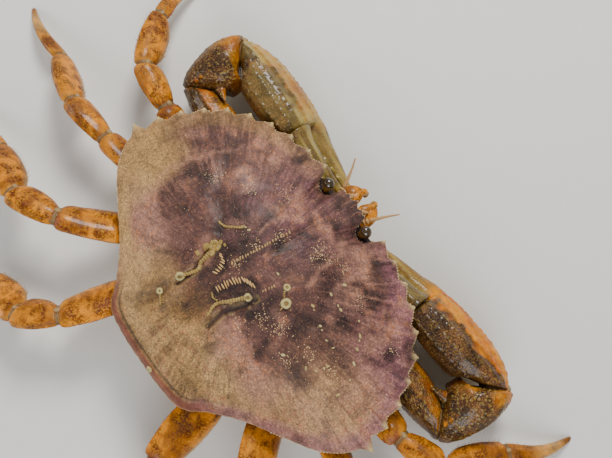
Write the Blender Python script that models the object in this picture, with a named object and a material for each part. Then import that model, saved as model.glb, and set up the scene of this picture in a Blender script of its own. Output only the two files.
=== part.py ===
"""A life-size Dungeness crab, standing still with both claws folded in front of its mouth.

The crab faces -Y, its left side is +X and it stands on the plane z = 0. Shapes are worked out in the
crab's own directions: side (outwards from the midline), fore (towards the face) and rise (above the
shell's margin). Metres throughout.
"""

import math
import random

import bmesh
import bpy
import numpy as np
from mathutils import Matrix, Vector

MM = 0.001
GAP = 0.3 * MM
FLOOR_DEPTH = 38 * MM
CRAB = "dungeness_crab"

# The shell's margin, seen from above: (side, fore) of one half, from the middle of the front to the
# middle of the back, without its teeth.
SHELL_CENTRE = (0.0, -4 * MM)
SHELL_COURSE = [
    (0, 54), (13, 53.4), (27, 51.6), (44, 47.4), (59, 39.6), (71, 27.6), (78.6, 12), (81, -5),
    (73.5, -17.5), (59, -27.5), (45, -36.5), (34, -46), (26, -54.5), (14, -57), (0, -57.5),
]
SHELL_RISE = 21 * MM
UNDER_SHELL = 9 * MM
EDGE_DROP = 2.6 * MM
SHELF_DROP = 3.2 * MM
FRONT_LENGTH = 57 * MM
DOME_SHARES = (0.10, 0.26, 0.42, 0.57, 0.71, 0.82, 0.90, 0.965, 1.0)
UNDERSIDE_SHARES = [(0.80, 0.95), (0.45, 0.45), (0.10, 0.10)]

# Frontal teeth and the eye's notch: (side, how far the edge stands out from the course).
FRONT_EDGE = [
    (0, 2.8), (1.5, 1.0), (2.7, 0.0), (4.3, 1.8), (6.0, 0.2), (7.5, 1.3), (8.5, -2.4), (9.7, -5.6),
    (11.6, -7.2), (14.6, -7.2), (17.0, -5.6), (18.3, -2.4),
]
FIRST_TOOTH_SIDE = 20.4 * MM
SIDE_TEETH = 10
TOOTH_STANDS = 2.3 * MM
LAST_TOOTH_STANDS = 4.6 * MM
TOOTH_SEED = 5
TOOTH_VARIETY = 0.14
BACK_STATIONS = 13

# The floor under the shell: how far out it reaches at the sides and at face and tail, and how deep it lies.
GILL_FLOOR = [
    (0.12, 0.12, 9.3), (0.5, 0.5, 9.3), (0.79, 0.94, 9.3), (0.66, 0.91, 12.5), (0.50, 0.72, 15.5),
    (0.36, 0.5, 16.5), (0.12, 0.12, 17),
]
GILL_FLOOR_STATIONS = 25

# The underside: half width and depth of the breast at each fore station, from face to tail.
BREAST = [
    (48.2, 19, 14.5), (45.5, 23, 18.5), (38, 26, 24.5), (26, 30, 28.5), (10, 34, 30), (-8, 34.5, 30),
    (-24, 30, 29), (-38, 22, 26), (-47, 16, 21), (-51, 12, 15.5),
]
BREAST_TOP = 11 * MM
BREAST_SIDES = 20
BREAST_POWER = 2.7

# Plates on the breast: (fore, middle, half width, thickness) from face to tail or the other way round.
TAIL_BOUNDS = [-51, -47, -42.5, -38, -31, -24, -8, 10]
TAIL_HALVES = [12.0, 13.0, 13.0, 11.8, 10.4, 8.8, 6.6, 2.2]
TAIL_THICKNESS = (3.1, 2.4)
MOUTH_PLATES = [
    (31, 5.6, 4.4, 2.2), (33, 5.7, 5.2, 2.9), (38, 5.7, 5.4, 3.1), (41.6, 5.7, 5.2, 3.1), (42.2, 5.7, 4.6, 2.2),
    (42.8, 5.7, 5.0, 3.0), (45.4, 5.6, 4.6, 2.8), (47.6, 5.4, 3.2, 1.8),
]
PLATE_GAP = 1.25 * GAP

# Walking legs, from the claw backwards. Each lies in one plane: bearing turns it, dip lowers its far end
# and lean tips it towards the tail. Pitches are those of the first three segments.
LEGS = {
    1: dict(root=(27, 7, -22), coxa=(42, 11.5, -23), bearing=26, dip=5, lean=56,
            lengths=(49, 22, 31, 34), pitches=(26, 20, -22), half_width=8.2, half_thick=4.8),
    2: dict(root=(27, -3, -22), coxa=(43.5, -2, -23), bearing=-1, dip=8, lean=36,
            lengths=(53, 24, 34, 37), pitches=(24, 6, -22), half_width=8.8, half_thick=5.0),
    3: dict(root=(26, -11, -22), coxa=(41, -15.5, -23), bearing=-18, dip=8, lean=48,
            lengths=(52, 23, 33, 35), pitches=(40, 8, -30), half_width=9.2, half_thick=5.0),
    4: dict(root=(16, -24, -20.5), coxa=(29, -34.5, -22.5), bearing=-32, dip=20, lean=58,
            lengths=(44, 20, 29, 30), pitches=(54, 20, -20), half_width=9.8, half_thick=4.4),
}
# What each right leg does differently from the left one.
RIGHT_LEG_CHANGES = {
    1: dict(bearing=28, lean=62, pitches=(32, 10, -40)),
    2: dict(bearing=-4, pitches=(24, 4, -24)),
    3: dict(bearing=-21, pitches=(40, 4, -30)),
    4: dict(bearing=-38, pitches=(50, 18, -20)),
}

# Leg segments: share of the length, then half width and half thickness as shares of the leg's own.
LEG_PROFILES = {
    "merus": [(0, 0.66, 0.96), (0.09, 0.78, 1.04), (0.19, 0.68, 0.90), (0.28, 0.84, 0.96), (0.45, 1.0, 1.0),
              (0.66, 1.0, 1.0), (0.84, 0.90, 0.98), (0.94, 0.80, 1.0), (1, 0.62, 0.86)],
    "carpus": [(0, 0.50, 0.72), (0.14, 0.62, 0.86), (0.4, 0.78, 0.98), (0.7, 0.84, 1.0), (0.9, 0.78, 0.94),
               (1, 0.62, 0.78)],
    "propodus": [(0, 0.56, 0.68), (0.12, 0.72, 0.82), (0.38, 0.84, 0.84), (0.66, 0.80, 0.78),
                 (0.9, 0.62, 0.68), (1, 0.50, 0.56)],
    "dactyl": [(0, 0.46, 0.52), (0.12, 0.50, 0.58), (0.34, 0.42, 0.54), (0.56, 0.33, 0.44),
               (0.76, 0.24, 0.34), (0.91, 0.16, 0.26)],
}
LEG_SIDES = 12
LEG_POWER = 1.8
MERUS_ARCH = 0.03
DACTYL_SIDES = 10
DACTYL_ARCH = 0.09
FOOT_HALF_LENGTH = 1.1
FOOT_HALF_WIDTH = 0.9
COXA_SIDES = 10

# Claw limbs: coxa end, elbow, wrist and finger tip.
CLAWS = {
    "left": dict(coxa=(36, 27, -23), elbow=(89, 33, -21.5), wrist=(92, 59.5, -18), tip=(5.5, 58, -21.5)),
    "right": dict(coxa=(36, 27, -23), elbow=(95, 29.5, -21.5), wrist=(98, 56.5, -18), tip=(14.5, 52.5, -21.5)),
}
CLAW_ROOT = (22, 20, -19)
CLAW_LEAN = 32
ARM_UP = (0, -0.15, 1.0)
CLAW_COXA = (7.2, 7.0)
PALM_SHARE = 0.56

# Claw segments: share of the length, half height and half thickness in millimetres.
ARM_PROFILE = [(0, 7.2, 7.0), (0.12, 8.2, 7.6), (0.35, 9.6, 8.2), (0.6, 10.6, 8.6), (0.82, 11.0, 9.0),
               (1, 9.0, 8.6)]
ELBOW_PROFILE = [(0, 8.6, 8.2), (0.12, 10.6, 10.2), (0.32, 12.6, 11.4), (0.5, 13.2, 11.8), (0.7, 13.0, 11.4),
                 (0.88, 11.2, 10.0), (1, 9.0, 7.8)]
PALM_PROFILE = [(0, 8.2, 6.2), (0.14, 12.4, 8.8), (0.32, 15.2, 10.0), (0.55, 17.0, 10.2), (0.8, 17.4, 9.6),
                (0.93, 16.8, 8.6), (1, 15.8, 7.6)]
ARM_SIDES = 14
CLAW_SIDES = 16
CLAW_POWER = 2.3
CLAW_RIDGE = 0.035

# Fingers: middle line above or below the hand's axis at the base, its rise and fall, and half height.
UPPER_FINGER = dict(above=1, base=8.4, hump=2.0, fall=5.8, half=7.0)
FIXED_FINGER = dict(above=-1, base=7.8, hump=0.0, fall=5.8, half=7.6)
FINGER_SHARES = (0, 0.1, 0.25, 0.42, 0.6, 0.76, 0.9, 1.0)
FINGER_SIDES = 12
FINGER_THICKNESS = 0.94
FINGER_TEETH = 5
KNUCKLE_OVERLAP = 6
PALM_SPINES = 5
FINGER_SPINES = 4
CREST_SPINES = 3

SPINE_SIDES = 6
SPINE_TIP = 0.16
SPINE_SEED = {"left": 21, "right": 22}
SPINE_VARIETY = 0.18

EYE_FOOT = (12.4, 48.4, -3.4)
EYE_DIRECTION = (0.15, 0.42, 0.88)
# Distance along the stalk and radius, in millimetres.
EYE_PROFILE = [(1.6, 1.8), (2.8, 2.0), (3.7, 2.5), (4.8, 2.8), (5.9, 2.6), (6.8, 1.9), (7.3, 0.9)]
EYE_SIDES = 12

# Feelers: root, first direction, how the direction bends, and step lengths with radii in millimetres.
ANTENNA = dict(
    root=(8.0, 52.6, -6.6), direction=(0.3, 1.0, 0.0), bend=(0.05, 0, 0.10),
    steps=[(0, 1.5), (1.6, 1.5), (1.8, 1.1), (2.4, 0.85), (3.0, 0.65), (3.2, 0.5), (3.2, 0.4), (2.6, 0.3)],
)
ANTENNULE = dict(
    root=(3.6, 53.2, -6.8), direction=(0.0, 1.0, -0.25), bend=(0.12, -0.10, -0.12),
    steps=[(0, 1.2), (1.8, 1.2), (1.6, 0.95), (1.8, 0.7), (1.6, 0.45)],
)

SIDES = {"left": 1, "right": -1}

SHELL_PURPLE = (0.30, 0.17, 0.20)
LIMB_ORANGE = (0.62, 0.27, 0.08)
CLAW_BROWN = (0.46, 0.22, 0.12)
BELLY_CREAM = (0.78, 0.66, 0.46)
EYE_BLACK = (0.03, 0.02, 0.02)
FEELER_OCHRE = (0.50, 0.28, 0.10)


def clear_scene():
    for obj in list(bpy.data.objects):
        bpy.data.objects.remove(obj, do_unlink=True)


def make_material(name, colour, roughness):
    material = bpy.data.materials.new(name)
    material.use_nodes = True
    shader = material.node_tree.nodes["Principled BSDF"]
    shader.inputs["Base Color"].default_value = (*colour, 1)
    shader.inputs["Roughness"].default_value = roughness
    shader.inputs["Metallic"].default_value = 0
    return material


def crab_collection():
    found = bpy.data.collections.get(CRAB)
    if found is None:
        found = bpy.data.collections.new(CRAB)
        bpy.context.scene.collection.children.link(found)
    return found


def unit(vector):
    vector = np.asarray(vector, float)
    return vector / np.linalg.norm(vector)


def varied(chance, share):
    """A factor near 1, drawn evenly within the share on both sides."""
    return 1 + chance.uniform(-share, share)


def smooth(value):
    """0 below 0, 1 above 1 and an even ramp between."""
    value = np.clip(value, 0, 1)
    return value * value * (3 - 2 * value)


def place(points, side_sign=1):
    """Crab directions (side, fore, rise) as world coordinates."""
    points = np.atleast_2d(points)
    return np.stack([points[:, 0] * side_sign, -points[:, 1], points[:, 2] + FLOOR_DEPTH], 1)


def place_direction(direction, side_sign=1):
    """A direction in the crab's terms as a world direction."""
    return (direction[0] * side_sign, -direction[1], direction[2])


def mesh_object(name, points, faces, material):
    mesh = bpy.data.meshes.new(name)
    mesh.from_pydata([tuple(p) for p in points], [], faces)
    work = bmesh.new()
    work.from_mesh(mesh)
    bmesh.ops.recalc_face_normals(work, faces=work.faces)
    work.to_mesh(mesh)
    work.free()
    mesh.materials.append(material)
    mesh.shade_smooth()
    obj = bpy.data.objects.new(name, mesh)
    crab_collection().objects.link(obj)
    return obj


def loft(name, rings, material, side_sign=1, poles=(False, False)):
    """A closed body through rings of equal count. A pole closes an end on its middle point."""
    rings = [np.asarray(ring, float) for ring in rings]
    count = len(rings[0])
    points = np.concatenate(rings)
    faces = []
    for row in range(len(rings) - 1):
        for k in range(count):
            after = (k + 1) % count
            low, high = row * count, (row + 1) * count
            faces.append((low + k, low + after, high + after, high + k))
    for end, pole in zip((0, len(rings) - 1), poles):
        first = end * count
        if not pole:
            faces.append(tuple(range(first, first + count)))
            continue
        middle = len(points)
        points = np.concatenate([points, rings[end].mean(0, keepdims=True)])
        faces += [(first + k, first + (k + 1) % count, middle) for k in range(count)]
    return mesh_object(name, place(points, side_sign), faces, material)


def ring(centre, normal, up_hint, half_up, half_across, sides, power=2.0, ridge=0.0):
    """A superellipse across normal. half_up lies along up_hint; ridge lifts every other corner."""
    normal = unit(normal)
    up = unit(np.asarray(up_hint, float) - np.dot(up_hint, normal) * normal)
    across = np.cross(up, normal)
    turn = np.arange(sides) * 2 * math.pi / sides
    x = np.sign(np.cos(turn)) * np.abs(np.cos(turn)) ** (2 / power) * half_across
    y = np.sign(np.sin(turn)) * np.abs(np.sin(turn)) ** (2 / power) * half_up
    lift = np.where(np.arange(sides) % 2 == 0, 1 + ridge, 1.0)
    return centre + np.outer(x * lift, across) + np.outer(y * lift, up)


def smooth_course(anchors, samples):
    """A Catmull-Rom curve through the anchors, with its ends mirrored in the midline."""
    anchors = np.array(anchors, float)
    mirror = np.array([-1.0, 1.0])
    full = np.concatenate([[anchors[1] * mirror], anchors, [anchors[-2] * mirror]])
    found = []
    for k in range(1, len(full) - 2):
        a, b, c, d = full[k - 1 : k + 3]
        square, cube = 2 * a - 5 * b + 4 * c - d, 3 * b - a - 3 * c + d
        for t in np.arange(samples) / samples:
            found.append(0.5 * (2 * b + (c - a) * t + square * t**2 + cube * t**3))
    found.append(anchors[-1])
    return np.array(found)


class ShellEdge:
    """The shell's margin as a function of the distance along it."""

    def __init__(self):
        self.course = smooth_course(SHELL_COURSE, 24) * MM
        steps = np.linalg.norm(np.diff(self.course, axis=0), axis=1)
        self.along = np.concatenate([[0], np.cumsum(steps)])
        self.length = self.along[-1]
        self.widest = self.along[np.argmax(self.course[:, 0])]

    def at(self, distance):
        return np.array([np.interp(distance, self.along, self.course[:, k]) for k in (0, 1)])

    def outward(self, distance):
        step = 0.4 * MM
        ahead = self.at(min(distance + step, self.length))
        behind = self.at(max(distance - step, 0))
        tangent = unit(ahead - behind)
        return np.array([-tangent[1], tangent[0]])

    def where_side_is(self, side):
        front = self.along <= self.widest
        return float(np.interp(side, self.course[front, 0], self.along[front]))

    def stations(self):
        """(distance, stand) of one half: frontal teeth, eye's notch, ten side teeth, plain back edge."""
        found = [(self.where_side_is(side * MM), stand * MM) for side, stand in FRONT_EDGE]
        first = self.where_side_is(FIRST_TOOTH_SIDE)
        pitch = (self.widest - first) / (SIDE_TEETH - 1)
        chance = random.Random(TOOTH_SEED)
        for tooth in range(SIDE_TEETH):
            tip = first + pitch * tooth
            last = tooth == SIDE_TEETH - 1
            stand = LAST_TOOTH_STANDS if last else TOOTH_STANDS * varied(chance, TOOTH_VARIETY)
            if tooth:
                found.append((tip - 0.30 * pitch, 0.0))
            found.append((tip, stand))
            found.append((tip + 0.34 * pitch, (0.25 if last else 0.55) * stand))
        start = found[-1][0]
        for k in range(1, BACK_STATIONS + 1):
            found.append((start + (self.length - start) * k / BACK_STATIONS, 0.0))
        return found


def whole_outline(edge, stations):
    """Course, outward direction and stand of every station, both halves, counted right round."""
    course = np.array([edge.at(d) for d, _ in stations])
    outward = np.array([edge.outward(d) for d, _ in stations])
    stand = np.array([s for _, s in stations])
    mirror = np.array([-1.0, 1.0])
    back = slice(-2, 0, -1)
    return (
        np.concatenate([course, course[back] * mirror]),
        np.concatenate([outward, outward[back] * mirror]),
        np.concatenate([stand, stand[back]]),
    )


def margin_rise(fore):
    """How high the margin runs: level with the widest point, lower at the tail and slightly at the face."""
    fore = np.asarray(fore) / FRONT_LENGTH
    return np.where(fore < 0, -3.6 * fore**2, -1.5 * fore**2) * MM


def bump(side, fore, centre, radius, height):
    away = ((np.abs(side) - centre[0] * MM) ** 2 + (fore - centre[1] * MM) ** 2) / (radius * MM) ** 2
    return height * MM * np.exp(-away)


def relief(side, fore):
    """The swellings over stomach, heart and gills, and the grooves between them."""
    found = bump(side, fore, (12, 25), 12, 1.2)
    found = found + bump(side, fore, (0, -26), 10, 1.3)
    found = found + bump(side, fore, (44, -8), 19, 1.2)
    found = found + bump(side, fore, (46, 22), 10, 0.7)
    found = found - bump(side, fore, (12, -7), 6, 1.6)
    found = found - bump(side, fore, (28, 9), 8, 1.0)
    return found - bump(side, fore, (22, -30), 9, 0.7)


def dome(share, side, fore):
    """Rise of the shell's upper face at a share of the way from its centre to the margin."""
    tailward = smooth(-fore / FRONT_LENGTH)
    power = 2.2 + 0.9 * tailward
    rim = np.exp(-(((share - 0.965) / 0.02) ** 2)) * 0.8 * MM * smooth((-fore - 40 * MM) / (12 * MM))
    inner = 1 - share**6
    return margin_rise(fore) + SHELL_RISE * (1 - share**power) + relief(side, fore) * inner + rim


def plan_ring(outline, share):
    """The outline drawn in towards the shell's centre. Teeth fade inwards sooner than the eye's notches."""
    course, outward, stand = outline
    keep = np.where(stand > 0, smooth((share - 0.87) / 0.13), np.clip((share - 0.6) / 0.4, 0, 1))
    centre = np.array(SHELL_CENTRE)
    return centre + (course - centre) * share + outward * (stand * keep)[:, None]


def steepness(side, fore):
    """1 where the body's wall is steep, at the face and at the tail, and 0 along the sides."""
    face = smooth((fore - 34 * MM) / (12 * MM)) * smooth((38 * MM - np.abs(side)) / (12 * MM))
    tail = smooth((-fore - 44 * MM) / (8 * MM))
    return np.maximum(face, tail)


def wall_share(outline, along_side, along_wall):
    """How far out the body's wall stands all round, given its share at the sides and where it is steep."""
    course = outline[0]
    return along_side + (along_wall - along_side) * steepness(course[:, 0], course[:, 1])


def make_carapace(edge, material):
    outline = whole_outline(edge, edge.stations())
    rings = []
    for share in DOME_SHARES:
        plan = plan_ring(outline, share)
        rise = dome(share, plan[:, 0], plan[:, 1])
        rings.append(np.column_stack([plan, rise]))
    plan = plan_ring(outline, 0.99)
    rings.append(np.column_stack([plan, margin_rise(plan[:, 1]) - EDGE_DROP]))
    course = outline[0]
    centre = np.array(SHELL_CENTRE)
    plan = centre + (course - centre) * wall_share(outline, 0.955, 0.965)[:, None]
    rings.append(np.column_stack([plan, margin_rise(plan[:, 1]) - SHELF_DROP]))
    for along_side, along_wall in UNDERSIDE_SHARES:
        plan = centre + (course - centre) * wall_share(outline, along_side, along_wall)[:, None]
        rings.append(np.column_stack([plan, np.full(len(plan), -UNDER_SHELL)]))
    return loft("carapace", rings, material, poles=(True, True))


def make_gill_floor(edge, material):
    """The body's wide, shallow floor under the shell."""
    outline = whole_outline(edge, [(d, 0.0) for d in np.linspace(0, edge.length, GILL_FLOOR_STATIONS)])
    course = outline[0]
    centre = np.array(SHELL_CENTRE)
    rings = []
    for side_share, steep_share, drop in GILL_FLOOR:
        plan = centre + (course - centre) * wall_share(outline, side_share, steep_share)[:, None]
        rings.append(np.column_stack([plan, np.full(len(plan), -drop * MM)]))
    return loft("thorax", rings, material, poles=(True, True))


def breast_section(fore, half, depth):
    centre = (0, fore * MM, -(BREAST_TOP + depth * MM) / 2)
    half_rise = (depth * MM - BREAST_TOP) / 2
    return ring(centre, (0, 1, 0), (0, 0, 1), half_rise, half * MM, BREAST_SIDES, BREAST_POWER)


def coxa_rings(root, end, next_direction, half_up, half_across, up_hint):
    """Rings of a short stub from inside the breast to the plane where the limb begins."""
    root, end = np.array(root) * MM, np.array(end) * MM
    own = unit(end - root)
    face = unit(own + unit(next_direction))
    return [
        ring(root, own, up_hint, half_up * 0.8, half_across * 0.8, COXA_SIDES),
        ring(root + (end - root) * 0.62, own, up_hint, half_up * 1.08, half_across * 1.08, COXA_SIDES),
        ring(end - face * GAP / 2, face, up_hint, half_up, half_across, COXA_SIDES),
    ]


def split_faces(obj):
    """Cuts every face into triangles, because bent ones leave badly cut faces after a union."""
    work = bmesh.new()
    work.from_mesh(obj.data)
    bmesh.ops.triangulate(work, faces=work.faces)
    work.to_mesh(obj.data)
    work.free()


def fuse(body, pieces):
    """Joins the pieces to the body by one Boolean union and keeps the largest closed surface."""
    for obj in [body, *pieces]:
        split_faces(obj)
    group = bpy.data.collections.new("to_join")
    bpy.context.scene.collection.children.link(group)
    for piece in pieces:
        crab_collection().objects.unlink(piece)
        group.objects.link(piece)
    union = body.modifiers.new("join", "BOOLEAN")
    union.operation = "UNION"
    union.operand_type = "COLLECTION"
    union.collection = group
    union.solver = "EXACT"
    graph = bpy.context.evaluated_depsgraph_get()
    joined = bpy.data.meshes.new_from_object(body.evaluated_get(graph))
    body.modifiers.clear()
    body.data = joined
    for piece in list(group.objects):
        bpy.data.objects.remove(piece, do_unlink=True)
    bpy.data.collections.remove(group)
    keep_largest(body)
    return body


def keep_largest(obj):
    work = bmesh.new()
    work.from_mesh(obj.data)
    left = set(work.verts)
    islands = []
    while left:
        stack, island = [left.pop()], []
        while stack:
            vertex = stack.pop()
            island.append(vertex)
            for link in vertex.link_edges:
                other = link.other_vert(vertex)
                if other in left:
                    left.remove(other)
                    stack.append(other)
        islands.append(island)
    islands.sort(key=len)
    for island in islands[:-1]:
        bmesh.ops.delete(work, geom=island, context="VERTS")
    work.to_mesh(obj.data)
    work.free()
    obj.data.shade_smooth()


def spine(name, root, direction, length, radius, look):
    """A blunt cone on a point in crab directions; length and radius in millimetres, varied a little."""
    length = length * varied(look["chance"], SPINE_VARIETY) * MM
    radius = radius * varied(look["chance"], SPINE_VARIETY) * MM
    side_sign = look["side_sign"]
    mesh = bpy.data.meshes.new(name)
    work = bmesh.new()
    bmesh.ops.create_cone(
        work, cap_ends=True, segments=SPINE_SIDES, radius1=radius, radius2=radius * SPINE_TIP, depth=length
    )
    bmesh.ops.translate(work, verts=work.verts, vec=(0, 0, length / 2))
    work.to_mesh(mesh)
    work.free()
    mesh.materials.append(look["material"])
    obj = bpy.data.objects.new(name, mesh)
    along = Vector(place_direction(direction, side_sign))
    turn = along.to_track_quat("Z", "Y").to_matrix().to_4x4()
    mesh.transform(Matrix.Translation(Vector(place(root, side_sign)[0])) @ turn)
    crab_collection().objects.link(obj)
    return obj


def segment_rings(start, end, start_face, end_face, up_hint, profile, sides, power, arch=0.0, ridge=0.0):
    """Rings of a limb segment from face to face. profile holds (share, half up, half across) in millimetres."""
    start, end = np.asarray(start), np.asarray(end)
    chord = unit(end - start)
    length = np.linalg.norm(end - start)
    start_face, end_face = unit(start_face), unit(end_face)
    up = unit(np.asarray(up_hint) - np.dot(up_hint, chord) * chord)
    rings = []
    for share, half_up, half_across in profile:
        toward_start = smooth(1 - share / 0.42)
        toward_end = smooth(1 - (1 - share) / 0.42)
        normal = chord + (start_face - chord) * toward_start + (end_face - chord) * toward_end
        centre = start + (end - start) * share + up * arch * length * math.sin(math.pi * share)
        if share == 0:
            centre = centre + start_face * GAP / 2
        if share == 1:
            centre = centre - end_face * GAP / 2
        rings.append(ring(centre, normal, up_hint, half_up * MM, half_across * MM, sides, power, ridge))
    return rings


def leg_frame(leg):
    """Outward and upright directions of the plane that a leg lies in."""
    bearing, dip, lean = (math.radians(leg[key]) for key in ("bearing", "dip", "lean"))
    ahead = np.array([math.cos(bearing), math.sin(bearing), 0])
    up = np.array([0, 0, 1.0])
    tailward = np.array([math.sin(bearing), -math.cos(bearing), 0])
    outward = ahead * math.cos(dip) - up * math.sin(dip)
    upright = (ahead * math.sin(dip) + up * math.cos(dip)) * math.cos(lean) + tailward * math.sin(lean)
    return outward, upright


def leg_joints(leg):
    """The five joint points of a leg. The last segment is pitched so that its tip meets the floor."""
    outward, upright = leg_frame(leg)
    points = [np.array(leg["coxa"]) * MM]
    lengths = [length * MM for length in leg["lengths"]]
    for length, pitch in zip(lengths, leg["pitches"]):
        pitch = math.radians(pitch)
        points.append(points[-1] + length * (math.cos(pitch) * outward + math.sin(pitch) * upright))
    reach = math.hypot(outward[2], upright[2])
    fall = (-FLOOR_DEPTH - points[-1][2]) / (lengths[-1] * reach)
    pitch = math.asin(fall) - math.atan2(outward[2], upright[2])
    points.append(points[-1] + lengths[-1] * (math.cos(pitch) * outward + math.sin(pitch) * upright))
    return points


def joint_faces(points):
    """The plane normals of the joints: halfway between the two segments that meet there."""
    directions = [unit(b - a) for a, b in zip(points, points[1:])]
    return [directions[0]] + [unit(a + b) for a, b in zip(directions, directions[1:])] + [directions[-1]]


def sized_profile(part, leg):
    """A leg segment's profile in millimetres."""
    wide, thick = leg["half_width"], leg["half_thick"]
    return [(share, up * wide, across * thick) for share, up, across in LEG_PROFILES[part]]


def make_leg(name, leg, side_sign, material):
    points = leg_joints(leg)
    faces = joint_faces(points)
    upright = leg_frame(leg)[1]
    root = np.array(leg["root"]) * MM
    faces[0] = unit(unit(points[0] - root) + unit(points[1] - points[0]))
    for number, part in enumerate(("merus", "carpus", "propodus")):
        rings = segment_rings(
            points[number], points[number + 1], faces[number], faces[number + 1], upright,
            sized_profile(part, leg), LEG_SIDES, LEG_POWER, arch=MERUS_ARCH if part == "merus" else 0.0,
        )
        loft(f"{name}_{part}", rings, material, side_sign)
    make_dactyl(f"{name}_dactyl", leg, points[3], points[4], faces[3], upright, side_sign, material)


def make_dactyl(name, leg, start, tip, start_face, upright, side_sign, material):
    """The pointed last segment, arched and ending in a small level foot on the floor."""
    chord = unit(tip - start)
    rings = segment_rings(
        start, tip, start_face, chord, upright, sized_profile("dactyl", leg), DACTYL_SIDES, LEG_POWER,
        arch=DACTYL_ARCH,
    )
    for section in rings:
        section[:, 2] = np.maximum(section[:, 2], -FLOOR_DEPTH)
    level = (chord[0], chord[1], 0)
    rings.append(ring(tip, (0, 0, -1), level, FOOT_HALF_LENGTH * MM, FOOT_HALF_WIDTH * MM, DACTYL_SIDES))
    loft(name, rings, material, side_sign)


def make_claw(side, material):
    """One claw limb: arm, elbow piece, palm with its fixed finger, and the movable finger."""
    side_sign = SIDES[side]
    claw = {key: np.array(value) * MM for key, value in CLAWS[side].items()}
    points = [claw["coxa"], claw["elbow"], claw["wrist"], claw["tip"]]
    faces = joint_faces(points)
    faces[0] = unit(unit(points[0] - np.array(CLAW_ROOT) * MM) + unit(points[1] - points[0]))
    lean = math.radians(CLAW_LEAN)
    upright = np.array([0, -math.sin(lean), math.cos(lean)])
    name = f"claw_{side}"
    look = dict(material=material, side_sign=side_sign, chance=random.Random(SPINE_SEED[side]))
    rings = segment_rings(
        points[0], points[1], faces[0], faces[1], ARM_UP, ARM_PROFILE, ARM_SIDES, CLAW_POWER
    )
    loft(f"{name}_merus", rings, material, side_sign)
    make_elbow(f"{name}_carpus", points, faces, upright, look)
    make_palm(f"{name}_palm", points[2], points[3], faces[2], upright, look)
    make_upper_finger(f"{name}_finger", points[2], points[3], upright, look)


def make_elbow(name, points, faces, upright, look):
    """The knob between arm and palm, with one large spine on its inner side and a crest of small ones."""
    elbow, wrist = points[1], points[2]
    rings = segment_rings(
        elbow, wrist, faces[1], faces[2], upright, ELBOW_PROFILE, CLAW_SIDES, CLAW_POWER, ridge=CLAW_RIDGE
    )
    body = loft(name, rings, look["material"], look["side_sign"])
    inward = unit(points[3] - wrist)
    root = elbow + (wrist - elbow) * 0.42 + inward * 8 * MM + upright * 7 * MM
    spines = [spine("elbow_spine", root, inward * 0.8 + upright * 0.5, 8.5, 2.4, look)]
    for k in range(CREST_SPINES):
        root = elbow + (wrist - elbow) * (0.28 + 0.22 * k) + upright * 11 * MM
        spines.append(spine("crest_spine", root, upright, 4.2, 1.5, look))
    fuse(body, spines)


def make_palm(name, wrist, tip, wrist_face, upright, look):
    """The swollen palm with its crest of spines, and the fixed finger that grows from it."""
    forward, up, knuckle = hand_frame(wrist, tip, upright)
    rings = segment_rings(
        wrist, knuckle, wrist_face, forward, upright, PALM_PROFILE, CLAW_SIDES, CLAW_POWER, ridge=CLAW_RIDGE
    )
    body = loft(name, rings, look["material"], look["side_sign"])
    start = knuckle - forward * KNUCKLE_OVERLAP * MM
    pieces = [finger_shape("fixed_finger", FIXED_FINGER, start, tip, up, look)]
    for k in range(PALM_SPINES):
        share = 0.2 + 0.16 * k
        root = wrist + (knuckle - wrist) * share + up * (11.6 + 3.2 * math.sin(math.pi * share)) * MM
        pieces.append(spine("palm_spine", root, up - forward * 0.25, 4.6, 1.5, look))
    fuse(body, pieces)


def make_upper_finger(name, wrist, tip, upright, look):
    """The movable finger, with a row of small spines along the base of its back."""
    forward, up, knuckle = hand_frame(wrist, tip, upright)
    start = knuckle + forward * GAP / 2
    finger = finger_shape(name, UPPER_FINGER, start, tip, up, look)
    spines = []
    for k in range(FINGER_SPINES):
        share = 0.12 + 0.15 * k
        back = finger_middle(UPPER_FINGER, share) + finger_half(UPPER_FINGER, share) * 0.8
        root = start + (tip - start) * share + up * back
        spines.append(spine("finger_spine", root, up - forward * 0.3, 3.4, 1.3, look))
    fuse(finger, spines)


def hand_frame(wrist, tip, upright):
    """Forward and up directions of a hand, and the knuckle where its fingers begin."""
    forward = unit(tip - wrist)
    up = unit(upright - np.dot(upright, forward) * forward)
    return forward, up, wrist + (tip - wrist) * PALM_SHARE


def finger_middle(finger, share):
    """How far a finger's middle line lies above the hand's axis."""
    hump = finger["hump"] * math.sin(math.pi * share * 0.9)
    return finger["above"] * (finger["base"] + hump - finger["fall"] * share**2.1) * MM


def finger_half(finger, share):
    return finger["half"] * (1 - 0.85 * share**1.2) * MM


def finger_shape(name, finger, start, tip, up, look):
    """A tapering, inward-curving finger with rounded teeth on its biting edge."""
    forward = unit(tip - start)
    rings = []
    for share in FINGER_SHARES:
        centre = start + (tip - start) * share + up * finger_middle(finger, share)
        half = finger_half(finger, share)
        rings.append(ring(centre, forward, up, half, half * FINGER_THICKNESS, FINGER_SIDES, power=2.1))
    body = loft(name, rings, look["material"], look["side_sign"])
    teeth = []
    inward = -finger["above"] * up
    for k in range(FINGER_TEETH):
        share = 0.26 + 0.145 * k
        bite = finger_middle(finger, share) * up + inward * finger_half(finger, share) * 0.8
        size = 2.6 - 0.25 * k
        root = start + (tip - start) * share + bite
        teeth.append(spine("finger_tooth", root, inward, size * 1.1, size * 0.72, look))
    return fuse(body, teeth)


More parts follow.
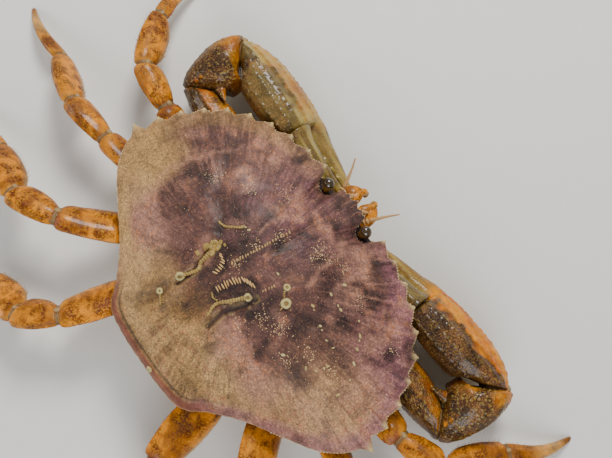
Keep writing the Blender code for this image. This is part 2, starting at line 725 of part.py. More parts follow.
def make_thorax(edge, material):
    floor = make_gill_floor(edge, material)
    sections = [breast_section(*station) for station in BREAST]
    pieces = [loft("breast", sections, material)]
    for side, side_sign in SIDES.items():
        claw = CLAWS[side]
        direction = np.array(claw["elbow"]) - np.array(claw["coxa"])
        half_up, half_across = (size * MM for size in CLAW_COXA)
        rings = coxa_rings(CLAW_ROOT, claw["coxa"], direction, half_up, half_across, ARM_UP)
        pieces.append(loft("claw_coxa", rings, material, side_sign))
        for number in LEGS:
            leg = leg_of(side, number)
            outward, upright = leg_frame(leg)
            pitch = math.radians(leg["pitches"][0])
            direction = math.cos(pitch) * outward + math.sin(pitch) * upright
            _, half_up, half_across = (size * MM for size in sized_profile("merus", leg)[0])
            rings = coxa_rings(leg["root"], leg["coxa"], direction, half_up, half_across, upright)
            pieces.append(loft("leg_coxa", rings, material, side_sign))
    return fuse(floor, pieces)


def breast_rise(fore):
    """Rise of the breast's lowest line at a fore place in millimetres."""
    stations = sorted(BREAST)
    return -np.interp(fore, [s[0] for s in stations], [s[2] for s in stations])


def plate_on_breast(name, stations, material, side_sign=1):
    """A plate that follows the breast's lowest line, bulging downwards across its width."""
    bulge = [(-1, 0), (-0.94, 0.6), (-0.5, 0.94), (0, 1), (0.5, 0.94), (0.94, 0.6), (1, 0)]
    lateral = np.array([1.0, 0, 0])
    rings = []
    for fore, middle, half, thickness in stations:
        slope = breast_rise(fore + 0.5) - breast_rise(fore - 0.5)
        out = unit([0, slope, -1.0])
        base = np.array([middle, fore, breast_rise(fore)]) * MM + out * PLATE_GAP
        rings.append([base + (lateral * half * x + out * thickness * y) * MM for x, y in bulge])
    return loft(name, rings, material, side_sign)


def make_abdomen(material):
    """The narrow tail folded under the breast, each segment a plate raised at its hind edge."""
    raised, sunk = TAIL_THICKNESS
    stations = []
    for k in range(len(TAIL_BOUNDS) - 1):
        stations.append((TAIL_BOUNDS[k] + 0.25, 0, TAIL_HALVES[k], raised))
        stations.append((TAIL_BOUNDS[k + 1] - 0.25, 0, TAIL_HALVES[k + 1], sunk))
    return plate_on_breast("abdomen", stations, material)


def make_mouthpart(side, material):
    """One outer mouthpart: a long plate over the mouth and a shorter one above it."""
    return plate_on_breast(f"maxilliped_{side}", MOUTH_PLATES, material, SIDES[side])


def make_eye(side, material):
    """A short stalk on the shelf in the eye's notch, ending in a rounded eye."""
    foot = np.array(EYE_FOOT) * MM
    direction = unit(EYE_DIRECTION)
    foot_radius = EYE_PROFILE[0][1] * MM
    rings = [ring(foot, (0, 0, 1), (0, 1, 0), foot_radius, foot_radius, EYE_SIDES)]
    for away, radius in EYE_PROFILE:
        centre = foot + direction * away * MM
        rings.append(ring(centre, direction, (0, 1, 0), radius * MM, radius * MM, EYE_SIDES))
    return loft(f"eye_{side}", rings, material, SIDES[side])


def make_feeler(name, feeler, side, material):
    """A thin feeler that tapers along its steps, each bent a little from the one before."""
    steps = feeler["steps"]
    curve = bpy.data.curves.new(name, "CURVE")
    curve.dimensions = "3D"
    curve.bevel_depth = MM
    curve.bevel_resolution = 2
    curve.use_fill_caps = True
    spline = curve.splines.new("POLY")
    spline.points.add(len(steps) - 1)
    direction, point = unit(feeler["direction"]), np.array(feeler["root"], float) * MM
    for target, (length, radius) in zip(spline.points, steps):
        point = point + direction * length * MM
        direction = unit(direction + np.array(feeler["bend"]))
        target.co = (*place(point, SIDES[side])[0], 1)
        target.radius = radius
    curve.materials.append(material)
    obj = bpy.data.objects.new(f"{name}_{side}", curve)
    crab_collection().objects.link(obj)
    return obj


def leg_of(side, number):
    leg = dict(LEGS[number])
    if side == "right":
        leg.update(RIGHT_LEG_CHANGES[number])
    return leg


def centre_on_floor():
    """Slides the whole crab so that the middle of its box stands over the origin."""
    objects = [obj for obj in crab_collection().objects if obj.type == "MESH"]
    points = np.concatenate([np.array([v.co for v in obj.data.vertices]) for obj in objects])
    middle = (points.min(0) + points.max(0)) / 2
    for obj in crab_collection().objects:
        obj.location = (-middle[0], -middle[1], 0)


def main():
    clear_scene()
    materials = {
        "shell": make_material("shell", SHELL_PURPLE, 0.5),
        "limb": make_material("limb", LIMB_ORANGE, 0.45),
        "claw": make_material("claw", CLAW_BROWN, 0.45),
        "belly": make_material("belly", BELLY_CREAM, 0.5),
        "eye": make_material("eye", EYE_BLACK, 0.1),
        "feeler": make_material("feeler", FEELER_OCHRE, 0.5),
    }
    edge = ShellEdge()
    make_carapace(edge, materials["shell"])
    for side, side_sign in SIDES.items():
        for number in LEGS:
            name = f"leg_{side}_{number}"
            make_leg(name, leg_of(side, number), side_sign, materials["limb"])
        make_claw(side, materials["claw"])
        make_eye(side, materials["eye"])
        make_feeler("antenna", ANTENNA, side, materials["feeler"])
        make_feeler("antennule", ANTENNULE, side, materials["feeler"])
        make_mouthpart(side, materials["belly"])
    make_thorax(edge, materials["belly"])
    make_abdomen(materials["belly"])
    centre_on_floor()


main()
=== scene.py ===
"""A Dungeness crab at life size, standing still, with every plate, limb, spine and bristle modelled.

Shapes are worked out in the crab's own directions, in millimetres: side (outwards from the midline),
fore (towards the face) and rise (above the shell's margin). The crab faces -Y and its left side is +X.
"""

import math
import random
from functools import cache

import bpy
import numpy as np
from mathutils import Matrix, Vector
from mathutils.bvhtree import BVHTree


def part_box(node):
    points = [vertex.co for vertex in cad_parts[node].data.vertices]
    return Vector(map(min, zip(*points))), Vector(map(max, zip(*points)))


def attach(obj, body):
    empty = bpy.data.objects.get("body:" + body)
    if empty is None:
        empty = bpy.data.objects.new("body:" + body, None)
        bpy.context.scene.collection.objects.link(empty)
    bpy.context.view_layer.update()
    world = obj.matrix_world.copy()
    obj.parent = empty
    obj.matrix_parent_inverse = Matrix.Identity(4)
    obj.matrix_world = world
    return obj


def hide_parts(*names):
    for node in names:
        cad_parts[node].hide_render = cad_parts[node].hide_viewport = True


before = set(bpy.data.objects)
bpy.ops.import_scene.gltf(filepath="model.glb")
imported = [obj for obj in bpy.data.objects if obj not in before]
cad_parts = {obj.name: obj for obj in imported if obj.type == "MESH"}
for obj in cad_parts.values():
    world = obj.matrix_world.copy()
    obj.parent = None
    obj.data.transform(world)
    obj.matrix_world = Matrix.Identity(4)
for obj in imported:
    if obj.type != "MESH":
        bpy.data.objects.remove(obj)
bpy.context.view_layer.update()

bl_info = {
    "name": "Dungeness crab",
    "version": (1, 0, 0),
    "blender": (4, 5, 0),
    "location": "View3D > Sidebar > Crab",
    "description": "Builds a life-size Dungeness crab with its shell, limbs, claws, feelers and bristles",
    "category": "Object",
}

MM = 0.001
FLOOR_DEPTH = 38.0
BODY = "root"
LEFT, RIGHT = 1, -1
SIDES = {"left": LEFT, "right": RIGHT}
PHOTO_WIDTH, PHOTO_HEIGHT = 612, 458

# The shell's margin from the middle of the front to the middle of the back, as (side, fore).
SHELL_CENTRE = np.array([0.0, -4.0])
SHELL_COURSE = [
    (0, 54), (13, 53.4), (27, 51.6), (44, 47.4), (59, 39.6), (71, 27.6), (78.6, 12), (81, -5),
    (73.5, -17.5), (59, -27.5), (45, -36.5), (34, -46), (26, -54.5), (14, -57), (0, -57.5),
]
FRONT_LENGTH = 57.0
TAIL_FORE = -57.5
FRONT_EDGE = [
    (0, 2.8), (1.5, 1.0), (2.7, 0.0), (4.3, 1.8), (6.0, 0.2), (7.5, 1.3), (8.5, -2.4), (9.7, -5.6),
    (11.6, -7.2), (14.6, -7.2), (17.0, -5.6), (18.3, -2.4),
]
FIRST_TOOTH_SIDE = 20.4
SIDE_TEETH = 10
TOOTH_SEED = 5
TOOTH_VARIETY = 0.14

# The underside: fore station, half width and depth, from face to tail.
BREAST = [
    (48.2, 19, 14.5), (45.5, 23, 18.5), (38, 26, 24.5), (26, 30, 28.5), (10, 34, 30), (-8, 34.5, 30),
    (-24, 30, 29), (-38, 22, 26), (-47, 16, 21), (-51, 12, 15.5),
]
PLATE_GAP = 0.375
TAIL_BOUNDS = [-51, -47, -42.5, -38, -31, -24, -8, 10]
TAIL_HALVES = [12.0, 13.0, 13.0, 11.8, 10.4, 8.8, 6.6, 2.2]

LEGS = {
    1: dict(root=(27, 7, -22), coxa=(42, 11.5, -23), bearing=26, dip=5, lean=56,
            lengths=(49, 22, 31, 34), pitches=(26, 20, -22), half_width=8.2, half_thick=4.8),
    2: dict(root=(27, -3, -22), coxa=(43.5, -2, -23), bearing=-1, dip=8, lean=36,
            lengths=(53, 24, 34, 37), pitches=(24, 6, -22), half_width=8.8, half_thick=5.0),
    3: dict(root=(26, -11, -22), coxa=(41, -15.5, -23), bearing=-18, dip=8, lean=48,
            lengths=(52, 23, 33, 35), pitches=(40, 8, -30), half_width=9.2, half_thick=5.0),
    4: dict(root=(16, -24, -20.5), coxa=(29, -34.5, -22.5), bearing=-32, dip=20, lean=58,
            lengths=(44, 20, 29, 30), pitches=(54, 20, -20), half_width=9.8, half_thick=4.4),
}
RIGHT_LEG_CHANGES = {
    1: dict(bearing=28, lean=62, pitches=(32, 10, -40)),
    2: dict(bearing=-4, pitches=(24, 4, -24)),
    3: dict(bearing=-21, pitches=(40, 4, -30)),
    4: dict(bearing=-38, pitches=(50, 18, -20)),
}
LEG_PROFILES = {
    "merus": [(0, 0.66, 0.96), (0.09, 0.78, 1.04), (0.19, 0.68, 0.90), (0.28, 0.84, 0.96), (0.45, 1.0, 1.0),
              (0.66, 1.0, 1.0), (0.84, 0.90, 0.98), (0.94, 0.80, 1.0), (1, 0.62, 0.86)],
    "carpus": [(0, 0.50, 0.72), (0.14, 0.62, 0.86), (0.4, 0.78, 0.98), (0.7, 0.84, 1.0), (0.9, 0.78, 0.94),
               (1, 0.62, 0.78)],
    "propodus": [(0, 0.56, 0.68), (0.12, 0.72, 0.82), (0.38, 0.84, 0.84), (0.66, 0.80, 0.78),
                 (0.9, 0.62, 0.68), (1, 0.50, 0.56)],
    "dactyl": [(0, 0.46, 0.52), (0.12, 0.50, 0.58), (0.34, 0.42, 0.54), (0.56, 0.33, 0.44),
               (0.76, 0.24, 0.34), (0.91, 0.16, 0.26), (0.975, 0.12, 0.20), (1.0, 0.07, 0.12)],
}

CLAWS = {
    "left": dict(coxa=(36, 27, -23), elbow=(89, 33, -21.5), wrist=(92, 59.5, -18), tip=(5.5, 58, -21.5)),
    "right": dict(coxa=(36, 27, -23), elbow=(95, 29.5, -21.5), wrist=(98, 56.5, -18),
                  tip=(14.5, 52.5, -21.5)),
}
CLAW_ROOT = (22, 20, -19)
CLAW_LEAN = 32
ARM_UP = (0, -0.15, 1.0)
PALM_SHARE = 0.56
ARM_PROFILE = [(0, 7.2, 7.0), (0.12, 8.2, 7.6), (0.35, 9.6, 8.2), (0.6, 10.6, 8.6), (0.82, 11.0, 9.0),
               (1, 9.0, 8.6)]
ELBOW_PROFILE = [(0, 8.6, 8.2), (0.12, 10.6, 10.2), (0.32, 12.6, 11.4), (0.5, 13.2, 11.8), (0.7, 13.0, 11.4),
                 (0.88, 11.2, 10.0), (1, 9.0, 7.8)]
PALM_PROFILE = [(0, 8.2, 6.2), (0.14, 12.4, 8.8), (0.32, 15.2, 10.0), (0.55, 17.0, 10.2), (0.8, 17.4, 9.6),
                (0.93, 16.8, 8.6), (1, 15.8, 7.6)]
UPPER_FINGER = dict(above=1, base=8.4, hump=2.0, fall=5.8, half=7.0)
FIXED_FINGER = dict(above=-1, base=7.8, hump=0.0, fall=5.8, half=7.6)

EYE_FOOT = (12.4, 48.4, -3.4)
EYE_DIRECTION = (0.15, 0.42, 0.88)


# Small helpers


def size(name):
    """One of the crab's sizes, in millimetres."""
    return getattr(bpy.context.scene.crab_sizes, name) / MM


def unit(vector):
    vector = np.asarray(vector, float)
    return vector / np.linalg.norm(vector)


def smooth(value):
    """0 below 0, 1 above 1 and an even ramp between."""
    value = np.clip(value, 0, 1)
    return value * value * (3 - 2 * value)


def bell(value, width):
    return np.exp(-((value / width) ** 2))


def full_turn(count):
    """Angles of evenly spread directions, from 0 all the way round."""
    return np.linspace(0, 2 * math.pi, count, endpoint=False)


def distances_along(course):
    """How far each point of a course lies from its start."""
    steps = np.linalg.norm(np.diff(course, axis=0), axis=1)
    return np.concatenate([[0], np.cumsum(steps)])


def shell_shift():
    """Where the crab's own origin lies on the floor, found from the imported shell."""
    low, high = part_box("carapace")
    return (low.x + high.x) / 2, high.y + TAIL_FORE * MM


SHIFT = shell_shift()


def to_world(points, sign=LEFT):
    """Crab millimetres (side, fore, rise) as world metres."""
    points = np.asarray(points, float)
    return np.stack([
        points[..., 0] * sign * MM + SHIFT[0],
        -points[..., 1] * MM + SHIFT[1],
        (points[..., 2] + FLOOR_DEPTH) * MM,
    ], -1)


def to_crab(points):
    """World metres as crab millimetres, left side positive."""
    points = np.asarray(points, float)
    return np.stack([
        (points[..., 0] - SHIFT[0]) / MM,
        -(points[..., 1] - SHIFT[1]) / MM,
        points[..., 2] / MM - FLOOR_DEPTH,
    ], -1)


def curve_through(table, at):
    """Smooth values through the table's rows (place, value, value...) by cubic Hermite spans."""
    table = np.asarray(table, float)
    place, values = table[:, 0], table[:, 1:]
    slopes = np.gradient(values, place, axis=0)
    at = np.clip(at, place[0], place[-1])
    k = np.clip(np.searchsorted(place, at, side="right") - 1, 0, len(place) - 2)
    span = (place[k + 1] - place[k])[:, None]
    t = (at - place[k])[:, None] / span
    leaving, arriving = slopes[k] * span, slopes[k + 1] * span
    found = (2 * t**3 - 3 * t**2 + 1) * values[k] + (t**3 - 2 * t**2 + t) * leaving
    return found + (3 * t**2 - 2 * t**3) * values[k + 1] + (t**3 - t**2) * arriving


def lattice(corner, seed):
    """Even random numbers from 0 to 1, fixed for each whole-number corner."""
    x, y, z = (corner[..., k].astype(np.int64) for k in range(3))
    mixed = (x * 73856093) ^ (y * 19349663) ^ (z * 83492791) ^ (seed * 2654435761)
    mixed = (mixed ^ (mixed >> 13)) * 1274126177 & 0xFFFFFFFF
    mixed = (mixed ^ (mixed >> 16)) & 0xFFFFFF
    return mixed / float(0xFFFFFF)


def cloud(points, width, seed):
    """Smooth noise from -1 to 1 whose lumps are about as wide as width."""
    places = np.asarray(points, float) / width
    base = np.floor(places)
    part = smooth(places - base)
    total = np.zeros(places.shape[:-1])
    for corner in np.ndindex(2, 2, 2):
        weight = np.prod(np.where(np.array(corner) == 1, part, 1 - part), axis=-1)
        total += weight * lattice(base + corner, seed)
    return total * 2 - 1


def pebbles(points, spacing, seed, width=0.42):
    """Rounded grains, 0 between them and 1 on top, scattered about one to a cell. Width is a share of it."""
    places = np.asarray(points, float) / spacing
    base = np.floor(places)
    nearest = np.full(places.shape[:-1], 9.0)
    for step in np.ndindex(3, 3, 3):
        cell = base + np.array(step) - 1
        spot = np.stack([lattice(cell, seed + k) for k in range(3)], -1) * 0.7 + 0.15
        nearest = np.minimum(nearest, np.linalg.norm(cell + spot - places, axis=-1))
    return np.clip(1 - (nearest / width) ** 2, 0, 1)


# Meshes


class Clay:
    """Collects closed bodies in crab millimetres, with their paint, and makes one mesh object of them."""

    def __init__(self, side="left"):
        self.sign = SIDES[side]
        self.points, self.faces, self.paint, self.count = [], [], [], 0

    def add(self, points, faces, paint=(0, 0, 0)):
        """Paint holds three marks for all points, or for each: pale, warm and dark."""
        points = np.asarray(points, float).reshape(-1, 3)
        self.points.append(points)
        self.paint.append(np.broadcast_to(np.asarray(paint, float), points.shape))
        self.faces += [tuple(int(k) + self.count for k in face) for face in faces]
        self.count += len(points)

    def add_tube(self, rings, paint=(0, 0, 0)):
        """A body through rings of equal count, each end drawn together on its middle."""
        rings = np.asarray(rings, float)
        rows, count = rings.shape[:2]
        points = np.concatenate([rings.reshape(-1, 3), rings[0].mean(0)[None], rings[-1].mean(0)[None]])
        low = np.arange(rows - 1)[:, None] * count + np.arange(count)[None]
        after = np.arange(rows - 1)[:, None] * count + (np.arange(count)[None] + 1) % count
        faces = np.stack([low, after, after + count, low + count], -1).reshape(-1, 4).tolist()
        first, last = rows * count, rows * count + 1
        top = (rows - 1) * count
        for k in range(count):
            n = (k + 1) % count
            faces.append((n, k, first))
            faces.append((top + k, top + n, last))
        if np.ndim(paint) > 1:
            paint = np.asarray(paint, float).reshape(-1, 3)
            paint = np.concatenate([paint, paint[:count].mean(0)[None], paint[-count:].mean(0)[None]])
        self.add(points, facing_out(points, faces), paint)

    def build(self, name, finish):
        points = to_world(np.concatenate(self.points), self.sign)
        # The crab's own directions are a mirror image of the world's on its left side.
        faces = [face[::-1] for face in self.faces] if self.sign == LEFT else self.faces
        mesh = bpy.data.meshes.new(name)
        mesh.from_pydata(points.tolist(), [], faces)
        set_marks(mesh, np.concatenate(self.paint))
        mesh.materials.append(finish)
        mesh.shade_smooth()
        obj = bpy.data.objects.new(name, mesh)
        bpy.context.scene.collection.objects.link(obj)
        return obj


def signed_volume(points, faces):
    """Six times the volume inside the faces, negative where they point inwards."""
    total = 0.0
    by_corners = {}
    for face in faces:
        by_corners.setdefault(len(face), []).append(face)
    for group in by_corners.values():
        corners = points[np.array(group)]
        for k in range(1, corners.shape[1] - 1):
            total += np.einsum("ij,ij->", corners[:, 0], np.cross(corners[:, k], corners[:, k + 1]))
    return total


def facing_out(points, faces):
    """The faces of a closed body, turned round where they point inwards."""
    return [face[::-1] for face in faces] if signed_volume(points, faces) < 0 else faces


def set_marks(mesh, values, name="marks"):
    shares = np.ones((len(mesh.vertices), 4), np.float32)
    shares[:, :3] = np.clip(values, 0, 1)
    marks = mesh.attributes.get(name) or mesh.attributes.new(name, "FLOAT_COLOR", "POINT")
    marks.data.foreach_set("color", shares.ravel())


def mesh_points(mesh):
    found = np.empty(len(mesh.vertices) * 3)
    mesh.vertices.foreach_get("co", found)
    return found.reshape(-1, 3)


def mesh_normals(mesh):
    found = np.empty(len(mesh.vertices) * 3, np.float32)
    mesh.vertex_normals.foreach_get("vector", found)
    return found.reshape(-1, 3).astype(float)


def ring(centre, normal, up_hint, half_up, half_across, angles, power=2.0):
    """A superellipse across normal, whose half_up lies along up_hint."""
    normal = unit(normal)
    up = unit(np.asarray(up_hint, float) - np.dot(up_hint, normal) * normal)
    across = np.cross(up, normal)
    x = np.sign(np.cos(angles)) * np.abs(np.cos(angles)) ** (2 / power) * half_across
    y = np.sign(np.sin(angles)) * np.abs(np.sin(angles)) ** (2 / power) * half_up
    return centre + np.outer(x, across) + np.outer(y, up)


@cache
def pattern_of(kind, **settings):
    """Points and faces of one of Blender's own primitives, as a pattern for small repeated shapes."""
    bpy.ops.object.select_all(action="DESELECT")
    getattr(bpy.ops.mesh, f"primitive_{kind}_add")(**settings)
    obj = bpy.context.active_object
    mesh = obj.data
    points, faces = mesh_points(mesh), [tuple(face.vertices) for face in mesh.polygons]
    bpy.data.objects.remove(obj)
    bpy.data.meshes.remove(mesh)
    return points, faces


def basis(direction, hint=(0.0, 0.0, 1.0)):
    """Three unit directions, the last of them along direction."""
    forward = unit(direction)
    hint = np.asarray(hint, float)
    if abs(np.dot(hint, forward)) > 0.95:
        hint = np.array([1.0, 0.0, 0.0])
    across = unit(np.cross(hint, forward))
    return np.stack([across, np.cross(forward, across), forward])


def finish_piece(obj, slot_name, *nodes):
    """Puts a finished piece on the body and hides the solids that it stands for."""
    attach(obj, BODY)
    if nodes:
        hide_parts(*nodes)


# Limb geometry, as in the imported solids


def leg_of(side, number):
    leg = dict(LEGS[number])
    if side == "right":
        leg.update(RIGHT_LEG_CHANGES[number])
    return leg


def leg_frame(leg):
    """Outward and upright directions of the plane that a leg lies in."""
    bearing, dip, lean = (math.radians(leg[key]) for key in ("bearing", "dip", "lean"))
    ahead = np.array([math.cos(bearing), math.sin(bearing), 0])
    up = np.array([0, 0, 1.0])
    tailward = np.array([math.sin(bearing), -math.cos(bearing), 0])
    outward = ahead * math.cos(dip) - up * math.sin(dip)
    upright = (ahead * math.sin(dip) + up * math.cos(dip)) * math.cos(lean) + tailward * math.sin(lean)
    return outward, upright


def leg_joints(leg):
    """The five joint points of a leg; the last segment's tip meets the floor."""
    outward, upright = leg_frame(leg)
    points = [np.array(leg["coxa"], float)]
    pitches = [math.radians(pitch) for pitch in leg["pitches"]]
    for k, length in enumerate(leg["lengths"]):
        if k == len(pitches):
            fall = (-FLOOR_DEPTH - points[-1][2]) / (length * math.hypot(outward[2], upright[2]))
            pitches.append(math.asin(fall) - math.atan2(outward[2], upright[2]))
        points.append(points[-1] + length * (math.cos(pitches[k]) * outward + math.sin(pitches[k]) * upright))
    return points


def joint_faces(points, root):
    """The plane normals of the joints: halfway between the two segments that meet there."""
    directions = [unit(b - a) for a, b in zip(points, points[1:])]
    faces = [unit(a + b) for a, b in zip(directions, directions[1:])]
    return [unit(unit(points[0] - np.array(root)) + directions[0])] + faces + [directions[-1]]


END_GAP = 0.3
END_ROUNDING = 1.6
# Extra rings near each end, as shares of its rounding.
END_RINGS = (0.12, 0.35, 0.65)


def segment(points, faces, up_hint, profile, angles, rows, power, relief, arch=0.0, round_end=True):
    """Rings of a limb segment with rounded ends. relief(share, angle) lifts the skin, in millimetres."""
    start, end = (np.asarray(point, float) for point in points)
    start_face, end_face = faces
    chord = unit(end - start)
    length = np.linalg.norm(end - start)
    up = unit(np.asarray(up_hint) - np.dot(up_hint, chord) * chord)
    close = np.array(END_RINGS) * (END_ROUNDING / length)
    shares = np.unique(np.concatenate([np.linspace(0, 1, rows), close, 1 - close]))
    rings = []
    for share, (half_up, half_across) in zip(shares, curve_through(profile, shares)):
        toward_start = smooth(1 - share / 0.42)
        toward_end = smooth(1 - (1 - share) / 0.42)
        normal = chord + (start_face - chord) * toward_start + (end_face - chord) * toward_end
        centre = start + (end - start) * share + up * arch * length * math.sin(math.pi * share)
        centre = centre + start_face * END_GAP * smooth(1 - share * length / 3)
        away = share * length
        if round_end:
            centre = centre - end_face * END_GAP * smooth(1 - (1 - share) * length / 3)
            away = min(share, 1 - share) * length
        shrink = END_ROUNDING * (1 - math.sqrt(1 - max(1 - away / END_ROUNDING, 0) ** 2))
        section = ring(centre, normal, up_hint, half_up - shrink, half_across - shrink, angles, power)
        outward = section - centre
        outward /= np.linalg.norm(outward, axis=1, keepdims=True)
        rings.append(section + outward * (relief(share, angles) * smooth(away / 1.5))[:, None])
    return shares, np.array(rings)


# The shell

MIRROR = np.array([-1.0, 1.0])
# Half the steps over which the line of teeth is blurred.
BLUR_STEPS = 24
# Where the front's fine steps end, beyond the widest place.
FRONT_MARGIN = 8


class ShellEdge:
    """The shell's margin as a function of the distance along one half of it."""

    FINE = 0.05

    def __init__(self):
        self.course = self.smooth_course(24)
        self.along = distances_along(self.course)
        self.length = self.along[-1]
        self.widest = self.along[np.argmax(self.course[:, 0])]
        self.tips, stations = self.stations()
        self.fine = np.arange(0, self.length + self.FINE, self.FINE)
        stand = np.interp(self.fine, *np.array(stations).T)
        kernel = bell(np.arange(-BLUR_STEPS, BLUR_STEPS + 1) * self.FINE, 0.45)
        padded = np.pad(stand, BLUR_STEPS, mode="reflect")
        self.fine_stand = np.convolve(padded, kernel / kernel.sum(), mode="valid")
        for tip, height in self.tips:
            self.fine_stand += 0.24 * height * bell(self.fine - tip, 0.6)
        self.fine_stand += 0.09 * np.sin(self.fine * 2 * math.pi / 1.35) * (self.fine > 25)

    @staticmethod
    def smooth_course(samples):
        """A Catmull-Rom curve through the anchors, whose mirror images lead it over the midline."""
        anchors = np.array(SHELL_COURSE, float)
        full = np.concatenate([[anchors[1] * MIRROR], anchors, [anchors[-2] * MIRROR]])
        found = []
        for k in range(1, len(full) - 2):
            a, b, c, d = full[k - 1 : k + 3]
            square, cube = 2 * a - 5 * b + 4 * c - d, 3 * b - a - 3 * c + d
            for t in np.arange(samples) / samples:
                found.append(0.5 * (2 * b + (c - a) * t + square * t**2 + cube * t**3))
        return np.array([*found, anchors[-1]])

    def stations(self):
        """Tooth tips, and (distance, stand) all along: frontal teeth, eye's notch, side teeth, plain back."""
        front = self.along <= self.widest
        sides = [FIRST_TOOTH_SIDE] + [side for side, _ in FRONT_EDGE]
        first, *edge = np.interp(sides, self.course[front, 0], self.along[front])
        found = [(distance, stand) for distance, (_, stand) in zip(edge, FRONT_EDGE)]
        pitch = (self.widest - first) / (SIDE_TEETH - 1)
        chance = random.Random(TOOTH_SEED)
        tips = []
        for tooth in range(SIDE_TEETH):
            tip = first + pitch * tooth
            last = tooth == SIDE_TEETH - 1
            stand = size("last_teeth")
            if not last:
                stand = size("side_teeth") * (1 + chance.uniform(-TOOTH_VARIETY, TOOTH_VARIETY))
            if tooth:
                found.append((tip - 0.30 * pitch, 0.0))
            found.append((tip, stand))
            found.append((tip + 0.34 * pitch, (0.25 if last else 0.55) * stand))
            tips.append((tip, stand))
        found.append((self.length, 0.0))
        return tips, found

    def at(self, distance):
        return np.stack([np.interp(distance, self.along, self.course[:, k]) for k in (0, 1)], -1)

    def outline(self, front_step, back_step):
        """Course, outward direction, stand and tooth mark of points right round the shell."""
        turn = self.widest + FRONT_MARGIN
        front = np.linspace(0, turn, int(turn / front_step))
        back = np.linspace(turn, self.length, int((self.length - turn) / back_step))[1:]
        where = np.concatenate([front, back])
        ahead, behind = (self.at(np.clip(where + step, 0, self.length)) for step in (0.4, -0.4))
        tangent = ahead - behind
        tangent /= np.linalg.norm(tangent, axis=1, keepdims=True)
        outward = np.stack([-tangent[:, 1], tangent[:, 0]], -1)
        stand = np.interp(where, self.fine, self.fine_stand)
        tooth = np.max([0 * where] + [bell(where - tip, 0.95) for tip, _ in self.tips], axis=0)
        halves = (self.at(where), outward, stand, tooth)
        return [np.concatenate([half, half[-2:0:-1] * (MIRROR if half.ndim > 1 else 1)]) for half in halves]


def margin_rise(fore):
    fore = np.asarray(fore) / FRONT_LENGTH
    return np.where(fore < 0, -3.6 * fore**2, -1.5 * fore**2)


# Swellings over stomach, heart and gills, and the hollows between: side, fore, radius and height.
SWELLINGS = [
    (12, 25, 12, 1.2), (0, -26, 10, 1.3), (44, -8, 19, 1.2), (46, 22, 10, 0.7), (12, -7, 6, -0.8),
    (28, 9, 8, -0.7), (22, -30, 9, -0.7),
]
# Grooves of one half: course as (side, fore), depth and width. The middle ones sit a little to the left.
H_SHIFT = 2.5
H_COURSE = [(10.7, -25), (10.3, -16.5), (13, -9.3), (13.9, -3.8)]
COMB_COURSE = [(4.6, -14.5), (6.4, -8.0), (9.2, -2.0)]
MIDDLE_GROOVES = [
    (H_COURSE, 1.3, 1.5), (COMB_COURSE, 0.5, 2.6), ([(10.7, -25), (8.5, -30), (9.5, -38)], 0.4, 2.6),
]
SIDE_GROOVES = [
    ([(15, -3), (22, 4), (31, 8), (42, 18), (50, 29)], 0.7, 3.2),
    ([(11, -26), (14, -34), (21, -43)], 0.5, 3.0),
    ([(31, 8), (27, 20), (20, 31), (13, 40)], 0.45, 3.2),
    ([(0.0, 14), (0.0, 34)], 0.35, 2.2),
    ([(33, -2), (50, -8), (66, -6)], 0.35, 4.0),
]


def line_distance(side, fore, course):
    """Distance from each place to a line of points."""
    place = np.stack([side, fore], -1)
    nearest = np.full(np.shape(side), 1e9)
    for a, b in zip(np.array(course[:-1], float), np.array(course[1:], float)):
        along = b - a
        t = np.clip(((place - a) @ along) / (along @ along), 0, 1)
        nearest = np.minimum(nearest, np.linalg.norm(place - (a + t[..., None] * along), axis=-1))
    return nearest


def shell_relief(side, fore):
    """The swellings of the shell, and the grooves between them."""
    found = 0
    for across, ahead, radius, height in SWELLINGS:
        away = ((np.abs(side) - across) ** 2 + (fore - ahead) ** 2) / radius**2
        found = found + height * np.exp(-away)
    for course, depth, width in MIDDLE_GROOVES:
        away = line_distance(np.abs(side - H_SHIFT), fore, course)
        found = found - depth * bell(away, width) + 0.35 * depth * bell(away - 1.9 * width, width)
    for course, depth, width in SIDE_GROOVES:
        found = found - depth * bell(line_distance(np.abs(side), fore, course), width)
    return found


def dome(share, side, fore):
    tailward = smooth(-fore / FRONT_LENGTH)
    rim = bell(share - 0.965, 0.02) * 0.8 * smooth((-fore - 40) / 12)
    rise = size("shell_rise") * (1 - share ** (2.2 + 0.9 * tailward))
    return margin_rise(fore) + rise + shell_relief(side, fore) * (1 - share**6) + rim


# Below the margin: share of the way out at the sides and at face and tail, how far the edge has dropped
# and how much of the teeth is left.
LIP = [
    (1.003, 1.002, 0.5, 1.0), (1.004, 1.003, 1.0, 0.99), (1.002, 1.002, 1.6, 0.97), (0.997, 0.998, 2.2, 0.92),
    (0.988, 0.99, 2.6, 0.8), (0.975, 0.98, 2.9, 0.5), (0.955, 0.965, 3.2, 0.1), (0.93, 0.96, 3.9, 0.0),
    (0.90, 0.956, 4.9, 0.0), (0.87, 0.953, 6.1, 0.0), (0.84, 0.951, 7.3, 0.0), (0.815, 0.95, 8.3, 0.0),
    (0.80, 0.95, 9.0, 0.0), (0.6, 0.6, 9.0, 0.0), (0.3, 0.3, 9.0, 0.0), (0.05, 0.05, 9.0, 0.0),
]
FLAT_UNDER = 9.0
TOOTH_THINNING = 0.5
DOME_SHARES = np.concatenate([np.linspace(0.012, 0.86, 84), np.linspace(0.868, 1.0, 26)])


def steepness(side, fore):
    """1 at the face and the tail, where the shell's underside drops steeply, and 0 at the sides."""
    face = smooth((fore - 34) / 12) * smooth((38 - np.abs(side)) / 12)
    return np.maximum(face, smooth((-fore - 44) / 8))


